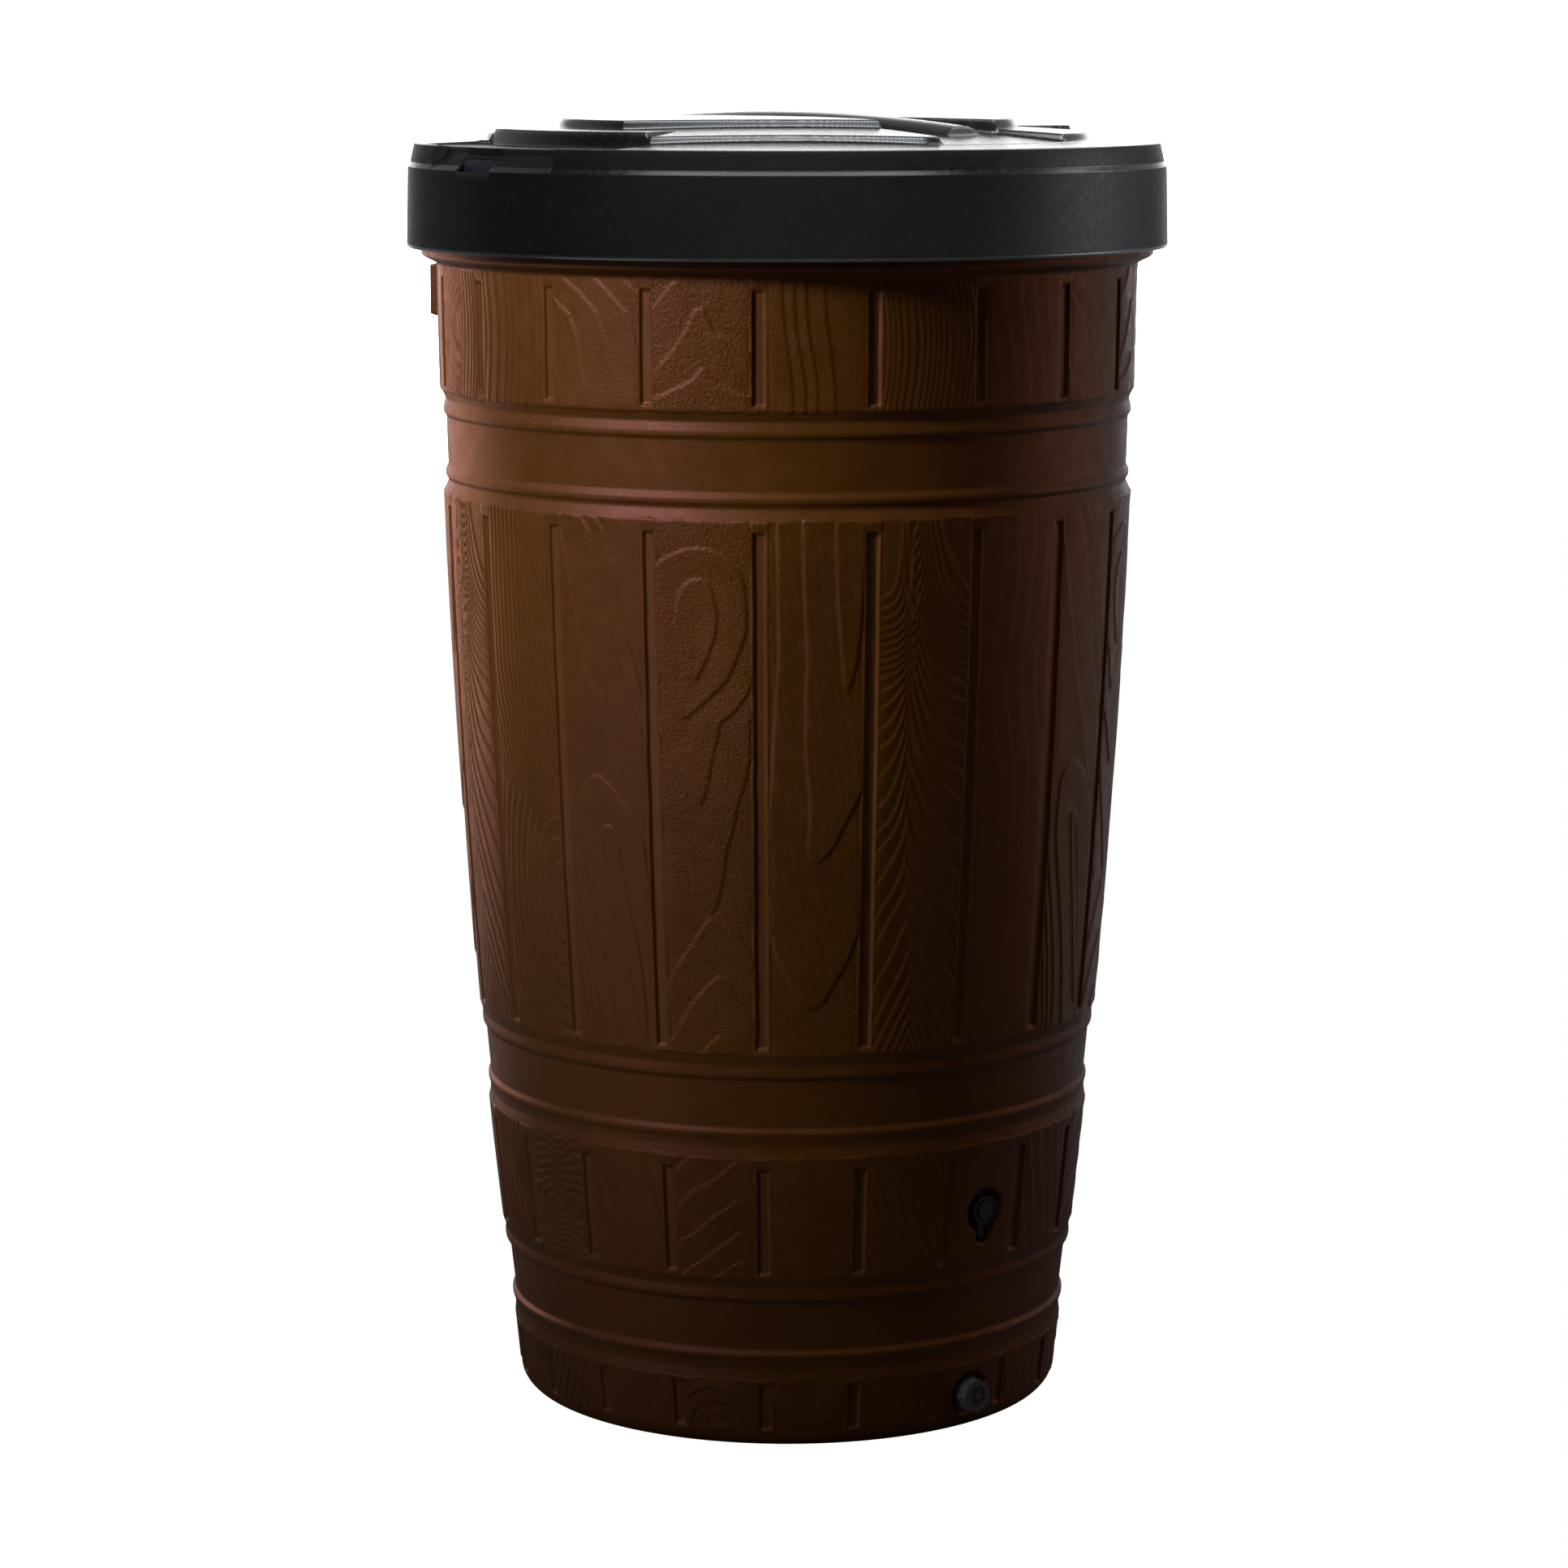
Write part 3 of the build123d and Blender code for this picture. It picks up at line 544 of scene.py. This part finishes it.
def sector_mask(azimuth, r, span, soft):
    """1 between two azimuths and at the opposite side, with an edge of soft mm."""
    middle, half = sum(span) / 2, (span[1] - span[0]) / 2
    away = np.abs((azimuth - middle + 90) % 180 - 90)
    return 1 - smooth(-soft, soft, np.radians(away - half) * r)


def disc_share(disc, r, y):
    radius, chord = disc[:2]
    round_edge = 1 - smooth(radius - SOFT, radius + SOFT, r)
    return round_edge * (1 - smooth(chord - SOFT, chord + SOFT, np.abs(y)))


def disc_level(disc, r):
    radius, chord, middle, drop = disc
    return middle - drop * (r / radius) ** 2


def lid_top(x, y, azimuth, r):
    """Height of the lid's top: crown and brim, two stepped discs, two pockets and the grip."""
    crown = CROWN_LEVEL - CROWN_DROP * (r / CROWN_RADIUS) ** 2
    brim = BRIM_LEVEL - (r - CROWN_RADIUS) * BRIM_DROP / BRIM_WIDTH
    base = np.where(r < CROWN_RADIUS, crown, brim)
    base = base + 0.8 * np.exp(-(((r - CROWN_RADIUS) / 3.0) ** 2))
    grip = math.radians(GRIP_AZIMUTH)
    along = x * math.sin(grip) - y * math.cos(grip)
    beside = x * math.cos(grip) + y * math.sin(grip)
    side = math.radians(CHANNEL_ANGLE)
    clear = np.abs(beside) * math.cos(side) - np.abs(along) * math.sin(side)
    out_of_channel = smooth(-SOFT, SOFT, clear)
    lower = disc_share(LOWER_DISC, r, y) * out_of_channel
    in_pocket = sector_mask(azimuth, r, POCKET, SOFT)
    behind = in_pocket * box_mask(r, POCKET_BACK_INNER, LOWER_DISC[0], SOFT) * out_of_channel
    lower_level = np.maximum(disc_level(LOWER_DISC, r), POCKET_BACK_LEVEL * behind)
    height = base + (lower_level - base) * np.maximum(lower, behind)
    upper = disc_share(UPPER_DISC, r, y) * out_of_channel
    height = height + (disc_level(UPPER_DISC, r) - height) * upper
    pocket = in_pocket * smooth(LOWER_DISC[0] - SOFT, LOWER_DISC[0] + SOFT, r)
    height = height + (POCKET_LEVEL - height) * pocket
    arch = np.sqrt(np.clip(1 - (beside / GRIP_WIDTH) ** 2, 0, 1))
    bar = GRIP_LEVEL - GRIP_ARCH * (along / GRIP_LENGTH) ** 2 + GRIP_RISE * arch
    on_bar = 1 - smooth(GRIP_LENGTH - SOFT, GRIP_LENGTH + SOFT, np.abs(along))
    on_bar = on_bar * (np.abs(beside) < GRIP_WIDTH)
    return np.where(on_bar > 0, np.maximum(height, height + (bar - height) * on_bar), height)


def lid_rows():
    """Outline of the plain edge and of the ledge, row by row, as (radius, height)."""
    skirt = [(349.1 - 1.7 * (z - 1071) / 72.7, z) for z in np.arange(1073, 1141, 4.0)]
    foot = [(348.2, 1071.0), (348.9, 1071.5)]
    shared = foot + skirt + [(347.4, 1143.2), (347.4, 1143.7)]
    edge = [(347.1, 1144.2), (346.2, 1145.8), (345.3, 1147.4), (345.0, 1148.0), (344.9, 1148.6)]
    edge += [(344.0, 1152.8), (342.8, 1158.2), (341.5, 1163.8), (341.0, 1164.7), (340.0, 1165.05)]
    edge += [(338.0, 1165.1)]
    ledge = [(346.9, 1144.2), (345.2, 1145.8), (342.6, 1148.4), (340.2, 1150.7), (338.2, 1152.7)]
    ledge += [(336.2, 1154.6), (334.6, 1156.2), (333.0, 1157.7), (332.0, 1158.8), (331.2, 1161.0)]
    ledge += [(330.5, 1163.6)]
    return shared, edge, ledge


def make_lid():
    """The lid as one closed shell with two slots through it."""
    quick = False
    columns = np.linspace(-180, 180, 720 if quick else 1440, endpoint=False)
    count = len(columns)
    pitch = 3.0 if quick else 1.2
    shared, edge, ledge = lid_rows()
    plain_rows = np.array(shared + edge)
    ledge_rows = np.array(shared + ledge)
    blend = sector_mask(columns, 345.0, GAP, 0.9)
    r = plain_rows[:, :1] + (ledge_rows - plain_rows)[:, :1] * blend
    z = plain_rows[:, 1:] + (ledge_rows - plain_rows)[:, 1:] * blend
    # the top's outermost rows draw in to the ledge's riser in the gaps
    radii = np.append(np.arange(TOP_RADIUS, 1, -pitch), 0.001)
    top_r = np.broadcast_to(radii[:, None], (len(radii), count)).copy()
    squeeze = np.minimum(top_r, 300 + (top_r - 300) * (LEDGE_INNER - 300) / (TOP_RADIUS - 300))
    top_r = top_r + (np.where(top_r > 300, squeeze, top_r) - top_r) * blend
    azimuth = np.broadcast_to(columns, top_r.shape)
    a = np.radians(azimuth)
    top_z = lid_top(top_r * np.sin(a), -top_r * np.cos(a), azimuth, top_r)
    r, z = np.vstack([r, top_r]), np.vstack([z, top_z])
    rows = len(r)
    a = np.radians(np.broadcast_to(columns, r.shape))
    outer = np.stack([r * np.sin(a), -r * np.cos(a), z], axis=-1)
    # the inner side lies further in at the skirt and further down at the top
    lean = smooth(len(shared) - 2, len(shared) + 8, np.arange(rows))[:, None]
    inner_r = r - LID_WALL * (1 - lean) * np.minimum(r / 20, 1) - 2.5 * lean * np.minimum(r / 350, 1)
    inner_z = z - LID_WALL * lean
    inner = np.stack([inner_r * np.sin(a), -inner_r * np.cos(a), inner_z], axis=-1)
    points = np.concatenate([outer, inner[::-1], outer[:1]], axis=0)
    in_slot = np.abs((columns - sum(SLOT) / 2 + 90) % 180 - 90) < (SLOT[1] - SLOT[0]) / 2
    cut = in_slot[None, :] & (z > SLOT_LOW) & (z < SLOT_HIGH) & (r > SLOT_INNER)
    cell = cut & np.roll(cut, -1, axis=1)
    cell = cell[:-1] & cell[1:]
    whole = np.zeros((1, count), bool)
    keep = ~np.concatenate([cell, whole, cell[::-1], whole], axis=0)
    return grid_mesh("lid_shell", points, keep=keep, flat=slot_walls(rows, count, cell))


def slot_walls(rows, count, cut):
    """Faces that close the cut edges of the slots, between the outer and the inner surface."""
    above, below = np.zeros((rows, count), bool), np.zeros((rows, count), bool)
    above[:-1] = cut
    below[1:] = cut
    before = np.roll(cut, 1, axis=1)
    faces = []
    for (i, j), down, along, forward in (
        (np.where(above & ~below), 0, 1, True),
        (np.where(below & ~above), 0, 1, False),
        (np.where(cut & ~before), 1, 0, False),
        (np.where(before & ~cut), 1, 0, True),
    ):
        start, end = (i, j), (i + down, (j + along) % count)
        if not forward:
            start, end = end, start
        outer = [start[0] * count + start[1], end[0] * count + end[1]]
        last = 2 * rows - 1
        inner = [(last - end[0]) * count + end[1], (last - start[0]) * count + start[1]]
        faces.append(np.stack(outer + inner, axis=1))
    return np.concatenate(faces)


def section_sweep(name, section, azimuths, tight, attributes=None):
    """A rounded (radius, height) section turned about the axis, closed at both ends."""
    section = np.array(section)
    middle = section.mean(axis=0)
    low, high = azimuths
    places = [low, low, low + 0.05, low + 0.2] + list(np.linspace(low + 0.4, high - 0.4, 12))
    places += [high - 0.2, high - 0.05, high, high]
    sizes = [0.0, tight, 0.5 * (1 + tight), 1.0] + [1.0] * 12 + [1.0, 0.5 * (1 + tight), tight, 0.0]
    a = np.radians(np.array(places))[:, None]
    grown = middle + (section - middle) * np.array(sizes)[:, None, None]
    points = np.stack([grown[..., 0] * np.sin(a), -grown[..., 0] * np.cos(a), grown[..., 1]], axis=-1)
    layers = {key: np.full(points.shape[:2], value) for key, value in (attributes or {}).items()}
    return grid_mesh(name, points, attributes=layers)


def rounded(corners, radius, steps=4):
    """A polygon with its corners rounded."""
    corners = np.array(corners, float)
    points = []
    for k, corner in enumerate(corners):
        before, after = corners[k - 1] - corner, corners[(k + 1) % len(corners)] - corner
        reach = min(radius, 0.45 * np.linalg.norm(before), 0.45 * np.linalg.norm(after))
        start = corner + before / np.linalg.norm(before) * reach
        end = corner + after / np.linalg.norm(after) * reach
        for t in np.linspace(0, 1, steps + 1):
            points.append((1 - t) ** 2 * start + 2 * t * (1 - t) * corner + t**2 * end)
    return points


def make_lug(name, azimuths):
    """A lug on the rim, which stands in the lid's slot."""
    inner = COLLAR - WALL
    corners = [(COLLAR - 2, 1129), (COLLAR + 0.4, 1129), (340, 1134), (340, 1150.4)]
    corners += [(336.4, 1154.2), (inner, 1154.2), (inner, 1140), (COLLAR - 2, 1139)]
    values = {"relief": 0.0, "upper": 1.0, "pebble": 1.0}
    return section_sweep(name, rounded(corners, 1.2), azimuths, 0.9, values)


def make_stop(name, azimuths):
    """A small upright tab over the slot, against the end of the ledge."""
    corners = [(329.5, 1155.2), (333.6, 1155.2), (333.2, 1164.2), (329.5, 1164.4)]
    return section_sweep(name, rounded(corners, 0.6), azimuths, 0.92)


def make_locating_ring():
    """The ring inside the lid that drops into the barrel's mouth."""
    section = np.array(rounded([(326, 1140), (329.5, 1140), (329.5, 1161.8), (326, 1161.8)], 0.8))
    columns = 540
    a = np.radians(np.linspace(-180, 180, columns, endpoint=False))[None, :]
    radius, height = section[:, :1], np.broadcast_to(section[:, 1:], (len(section), columns))
    points = np.stack([radius * np.sin(a), -radius * np.cos(a), height], axis=-1)
    return grid_mesh("lid_locating_ring", np.concatenate([points, points[:1]], axis=0))


# ---- materials -----------------------------------------------------------------
WHITE = (1, 1, 1, 1)
UNDER_LID = (0.005, 0.008, 0.012, 1)
# pale grey for the lid's lower lip: a painted highlight where the lip catches the light
LIP_HIGHLIGHT_COLOUR = (0.030, 0.032, 0.036, 1)


def node(tree, kind, settings=None, inputs=None):
    made = tree.nodes.new("ShaderNode" + kind)
    for key, value in (settings or {}).items():
        setattr(made, key, value)
    for key, value in (inputs or {}).items():
        socket = made.inputs[key]
        if isinstance(value, bpy.types.NodeSocket):
            tree.links.new(value, socket)
        else:
            socket.default_value = value
    return made


def noise(tree, where, scale, detail=3.0, roughness=0.55):
    inputs = {"Vector": where, "Scale": scale, "Detail": detail, "Roughness": roughness}
    return node(tree, "TexNoise", None, inputs).outputs["Fac"]


def spread(tree, value, low, high, out_low, out_high):
    inputs = {0: value, 1: low, 2: high, 3: out_low, 4: out_high}
    return node(tree, "MapRange", {"clamp": True}, inputs).outputs[0]


def math_node(tree, operation, a, b=0.0):
    return node(tree, "Math", {"operation": operation}, {0: a, 1: b}).outputs[0]


def mix_colour(tree, share, a, b):
    made = node(tree, "Mix", {"data_type": "RGBA"})
    for socket, value in ((made.inputs[0], share), (made.inputs[6], a), (made.inputs[7], b)):
        if isinstance(value, bpy.types.NodeSocket):
            tree.links.new(value, socket)
        else:
            socket.default_value = value
    return made.outputs[2]


def attribute(tree, name):
    return node(tree, "Attribute", {"attribute_name": name}).outputs["Fac"]


def plastic(
    name, base, wear_and_highlight, rough, tint=WHITE, pebble=0.1, pebble_scale=420.0, zones=False,
    mottle=60.0, shine=0.5, cloud=0.22, specks=None,
):
    """Moulded plastic: mottled colour, specks, pebbled skin, paler convex edges (rubbed wear with a painted
    highlight), and paler grooves (a painted highlight).

    pebble is the skin's depth in mm.  zones makes it follow the barrel's own values: wood
    relief, the part under the lid, and how rough each plank is.
    """
    material = bpy.data.materials.new(name)
    material.use_nodes = True
    tree = material.node_tree
    tree.nodes.clear()
    where = node(tree, "TexCoord").outputs["Object"]
    broad = noise(tree, where, 5.0, 4.0)
    medium = noise(tree, where, mottle, 4.0)
    fine = noise(tree, where, pebble_scale, 2.0, 0.6)
    dark = tuple(c * (1 - cloud) for c in base[:3]) + (1,)
    light = tuple(c * (1 + cloud) for c in base[:3]) + (1,)
    colour = mix_colour(tree, spread(tree, broad, 0.3, 0.7, 0.0, 1.0), dark, light)
    colour = mix_colour(tree, spread(tree, medium, 0.45, 0.8, 0.0, 0.25), colour, wear_and_highlight)
    if specks:
        dots = noise(tree, where, 1300.0, 1.0, 0.4)
        colour = mix_colour(tree, spread(tree, dots, 0.66, 0.74, 0.0, 0.8), colour, specks)
    # convex edges are mixed towards the pale colour: rubbed wear, together with a painted highlight along
    # the edges
    edge = node(tree, "NewGeometry").outputs["Pointiness"]
    edge_wear_and_highlight = math_node(tree, "MULTIPLY", spread(tree, edge, 0.505, 0.56, 0.0, 0.7), medium)
    colour = mix_colour(tree, edge_wear_and_highlight, colour, wear_and_highlight)
    roughness = spread(tree, medium, 0.25, 0.75, rough - 0.07, rough + 0.09)
    if zones:
        upper = attribute(tree, "upper")
        colour = mix_colour(tree, upper, colour, UNDER_LID)
        relief = attribute(tree, "relief")
        shine = spread(tree, upper, 0.0, 1.0, shine, 0.12)
        # the plank grooves are painted paler and made smoother: a painted highlight standing in for their
        # lit floors
        groove_highlight = spread(tree, relief, -2.6, -1.2, 0.5, 0.0)
        colour = mix_colour(tree, groove_highlight, colour, wear_and_highlight)
        roughness = math_node(tree, "SUBTRACT", roughness, math_node(tree, "MULTIPLY", groove_highlight, 0.1))
        fine = math_node(tree, "MULTIPLY", fine, attribute(tree, "pebble"))
    bump = node(tree, "Bump", None, {"Strength": 1.0, "Distance": pebble * MM, "Height": fine})
    tiny = noise(tree, where, pebble_scale * 4.5, 2.0)
    bump = node(
        tree, "Bump", None,
        {"Strength": 1.0, "Distance": pebble * MM * 0.3, "Height": tiny, "Normal": bump.outputs[0]},
    )
    shader = node(tree, "BsdfPrincipled")
    tree.links.new(colour, shader.inputs["Base Color"])
    tree.links.new(roughness, shader.inputs["Roughness"])
    tree.links.new(bump.outputs[0], shader.inputs["Normal"])
    shader.inputs["Specular Tint"].default_value = tint
    if zones:
        tree.links.new(shine, shader.inputs["Specular IOR Level"])
    else:
        shader.inputs["Specular IOR Level"].default_value = shine
    output = node(tree, "OutputMaterial")
    tree.links.new(shader.outputs[0], output.inputs[0])
    return material


BROWN = plastic(
    "brown_plastic", (0.060, 0.0213, 0.0003, 1), (0.095, 0.037, 0.012, 1), 0.42,
    (1.0, 0.38, 0.38, 1), pebble=0.8, pebble_scale=330, zones=True, shine=0.42,
    specks=(0.085, 0.033, 0.006, 1),
)
BLACK = plastic(
    "black_plastic", (0.0095, 0.0083, 0.0074, 1), (0.030, 0.028, 0.027, 1), 0.45, (0.9, 0.95, 1, 1),
    pebble=0.05, pebble_scale=700, mottle=190.0, cloud=0.45, specks=(0.032, 0.031, 0.030, 1),
)
DARK = plastic(
    "dark_fitting_plastic", (0.006, 0.0055, 0.0058, 1), (0.04, 0.04, 0.042, 1), 0.26,
    pebble=0.02, pebble_scale=1500, mottle=400.0,
)
GREY = plastic(
    "grey_fitting_plastic", (0.030, 0.034, 0.035, 1), (0.11, 0.12, 0.12, 1), 0.3,
    pebble=0.02, pebble_scale=1500, mottle=400.0,
)
RUBBER = plastic(
    "seal_rubber", (0.006, 0.006, 0.006, 1), (0.02, 0.02, 0.02, 1), 0.7,
    pebble=0.04, pebble_scale=1800, mottle=500.0,
)
VALVE = plastic(
    "valve_plastic", (0.35, 0.34, 0.31, 1), (0.5, 0.5, 0.48, 1), 0.35,
    pebble=0.02, pebble_scale=1500, mottle=400.0,
)
STEEL = plastic(
    "clip_steel", (0.55, 0.55, 0.56, 1), (0.75, 0.75, 0.76, 1), 0.28,
    pebble=0.01, pebble_scale=2500, mottle=900.0,
)
STEEL.node_tree.nodes["Principled BSDF"].inputs["Metallic"].default_value = 1.0


def lid_finish(material):
    """Sides are matt; the moulded edge is shiny; the top and the lower lip are smoother, and the lower lip
    is painted paler as a painted highlight where it catches the light.
    """
    tree = material.node_tree
    shader = tree.nodes["Principled BSDF"]
    height = node(tree, "SeparateXYZ", None, {0: node(tree, "TexCoord").outputs["Object"]}).outputs[2]
    top = spread(tree, height, 1.1640, 1.1646, 0.0, 1.0)
    edge_low = spread(tree, height, 1.1434, 1.1438, 0.0, 1.0)
    edge_high = spread(tree, height, 1.1480, 1.1484, 1.0, 0.0)
    edge = math_node(tree, "MULTIPLY", edge_low, edge_high)
    # the lower lip gets a paler colour: a painted highlight
    lip_highlight = spread(tree, height, 1.0725, 1.0745, 1.0, 0.0)
    smoother = math_node(tree, "MAXIMUM", math_node(tree, "MAXIMUM", top, edge), lip_highlight)
    level = spread(tree, smoother, 0.0, 1.0, 0.12, 1.0)
    tree.links.new(level, shader.inputs["Specular IOR Level"])
    rough = shader.inputs["Roughness"].links[0].from_socket
    rough = math_node(tree, "SUBTRACT", rough, math_node(tree, "MULTIPLY", smoother, 0.22))
    tree.links.new(rough, shader.inputs["Roughness"])
    colour = shader.inputs["Base Color"].links[0].from_socket
    tree.links.new(mix_colour(tree, lip_highlight, colour, LIP_HIGHLIGHT_COLOUR), shader.inputs["Base Color"])


lid_finish(BLACK)

def add_piece(piece, material, body, node_name):
    """Gives a piece its material and body, and puts it in place of a CAD node."""
    piece.data.materials.append(material)
    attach(piece, body)
    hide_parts(node_name)


BODY_PIECES = [make_barrel()]
LID_PIECES = [make_lid(), make_locating_ring()]
for name, turned in (("lid_stop_front", 0), ("lid_stop_rear", 180)):
    LID_PIECES.append(make_stop(name, (SLOT[0] + turned, SLOT[1] + turned)))
for name, turned in (("rim_lug_front", 0), ("rim_lug_rear", 180)):
    BODY_PIECES.append(make_lug(name, (LUG[0] + turned, LUG[1] + turned)))
for piece in LID_PIECES:
    add_piece(piece, BLACK, "lid", "lid")
for piece in BODY_PIECES:
    add_piece(piece, BROWN, "barrel", "barrel_body")

# the fittings keep their CAD shape, with softened edges
FITTING_FINISH = {
    "tap_body": DARK,
    "tap_lock_nut": DARK,
    "tap_knob": DARK,
    "tap_knob_cover": DARK,
    "tap_valve_plug": VALVE,
    "tap_retaining_clip": STEEL,
    "tap_knob_screw": STEEL,
    "drain_spigot": GREY,
    "drain_lock_nut": GREY,
    "drain_cap": GREY,
}
for name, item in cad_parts.items():
    if name in ("barrel_body", "lid"):
        continue
    item.data.materials.clear()
    item.data.materials.append(FITTING_FINISH.get(name, RUBBER))
    edge = item.modifiers.new("soft_edges", "BEVEL")
    edge.width = 0.25 * MM
    edge.segments = 2
    edge.limit_method = "ANGLE"
    edge.angle_limit = math.radians(40)
    BODY_PIECES.append(item)

# ---- floor, light and camera ---------------------------------------------------
scene = bpy.context.scene
scene.view_settings.view_transform = "Standard"

floor_mesh = bpy.data.meshes.new("floor")
floor_mesh.from_pydata([(-9, -9, 0), (9, -9, 0), (9, 9, 0), (-9, 9, 0)], [], [(0, 1, 2, 3)])
floor = bpy.data.objects.new("floor", floor_mesh)
scene.collection.objects.link(floor)


def backdrop_material():
    """White to the camera; to everything else a dim pale grey."""
    material = bpy.data.materials.new("backdrop")
    material.use_nodes = True
    tree = material.node_tree
    tree.nodes.clear()
    rays = node(tree, "LightPath").outputs
    place = node(tree, "SeparateXYZ", None, {0: node(tree, "NewGeometry").outputs["Position"]}).outputs[1]
    behind = spread(tree, place, 0.4, 1.5, 0.0, 0.25)
    mirrored = math_node(tree, "MULTIPLY", rays["Is Glossy Ray"], behind)
    paint = node(tree, "BsdfDiffuse", None, {"Color": (0.25, 0.25, 0.25, 1)})
    glow = node(tree, "Emission", None, {"Color": (1, 1, 1, 1), "Strength": 1.0})
    share = math_node(tree, "MAXIMUM", rays["Is Camera Ray"], mirrored)
    mix = node(tree, "MixShader", None, {0: share, 1: paint.outputs[0], 2: glow.outputs[0]})
    output = node(tree, "OutputMaterial")
    tree.links.new(mix.outputs[0], output.inputs[0])
    return material


floor_mesh.materials.append(backdrop_material())

world = bpy.data.worlds.new("studio")
scene.world = world
world.use_nodes = True
tree = world.node_tree
tree.nodes.clear()
direction = node(tree, "TexCoord").outputs["Generated"]
parts = node(tree, "SeparateXYZ", None, {0: direction})
behind = spread(tree, parts.outputs[1], 0.05, 0.7, 0.02, 0.28)
glow = spread(tree, parts.outputs[1], 0.9, 0.97, 0.0, 2.4)
behind = math_node(tree, "ADD", behind, glow)
seen = node(tree, "LightPath").outputs["Is Camera Ray"]
lit = math_node(tree, "MAXIMUM", behind, seen)
background = node(tree, "Background", None, {"Color": (1, 1, 1, 1), "Strength": lit})
output = node(tree, "OutputWorld")
tree.links.new(background.outputs[0], output.inputs[0])


def area_light(name, place, aim, size, power, colour=(1, 1, 1)):
    light = bpy.data.lights.new(name, "AREA")
    light.shape = "RECTANGLE"
    light.size, light.size_y = size
    light.energy = power
    light.color = colour
    item = bpy.data.objects.new(name, light)
    item.location = place
    item.rotation_euler = (Vector(aim) - Vector(place)).to_track_quat("-Z", "Y").to_euler()
    scene.collection.objects.link(item)
    return item


def spot_light(name, place, aim, half_angle, power, radius):
    light = bpy.data.lights.new(name, "SPOT")
    light.spot_size = math.radians(2 * half_angle)
    light.spot_blend = 1.0
    light.energy = power
    light.shadow_soft_size = radius
    item = bpy.data.objects.new(name, light)
    item.location = place
    item.rotation_euler = (Vector(aim) - Vector(place)).to_track_quat("-Z", "Y").to_euler()
    scene.collection.objects.link(item)
    return item


def lights_only(light, name, pieces):
    """This light falls on the named pieces and on nothing else."""
    group = bpy.data.collections.new(name)
    for piece in pieces:
        group.objects.link(piece)
    light.light_linking.receiver_collection = group


key = spot_light("key", (-1.95, -1.6, 2.2), (-0.23, -0.2, 1.15), 19, 345, 0.3)
lights_only(key, "key_lit", BODY_PIECES)
area_light("fill", (1.5, -4.0, 2.0), (0, 0, 0.6), (2.0, 2.0), 2.6)
area_light("overhead", (0.0, -0.85, 3.2), (0, -0.2, 1.15), (2.0, 0.5), 20)
left_rear = area_light("left_rear", (-1.7, 1.7, 0.8), (0, 0, 0.5), (0.8, 1.4), 12, (1.0, 0.42, 0.3))
right_side = area_light("right_side", (2.2, 0.4, 0.9), (0, 0, 0.6), (0.8, 1.4), 5, (1.0, 0.5, 0.25))
lights_only(left_rear, "left_rear_lit", BODY_PIECES)
lights_only(right_side, "right_side_lit", BODY_PIECES)
area_light("floor_bounce", (-1.3, -1.0, 0.1), (0, -0.1, 0.2), (1.2, 0.8), 4.0)
for name, place, size, power in (
    ("lid_front", (0.3, -3.4, 1.7), (3.0, 1.4), 26),
    ("lid_left", (-2.0, -2.6, 1.7), (1.2, 1.2), 7),
    ("lid_right", (2.5, 0.2, 1.4), (1.2, 1.2), 22),
    ("lid_over", (0.0, -1.1, 3.3), (3.2, 1.4), 26),
    ("lid_over_right", (1.5, 0.9, 2.9), (1.8, 1.4), 14),
):
    lights_only(area_light(name, place, (0, 0, 1.12), size, power), name + "_lit", LID_PIECES)

camera_data = bpy.data.cameras.new("camera")
camera_data.lens = 108.8
camera_data.sensor_width = 36.0
camera = bpy.data.objects.new("camera", camera_data)
camera.location = (-0.003, -4.385, 1.263)
camera.rotation_euler = (math.radians(81.0), 0, 0)
scene.collection.objects.link(camera)
scene.camera = camera
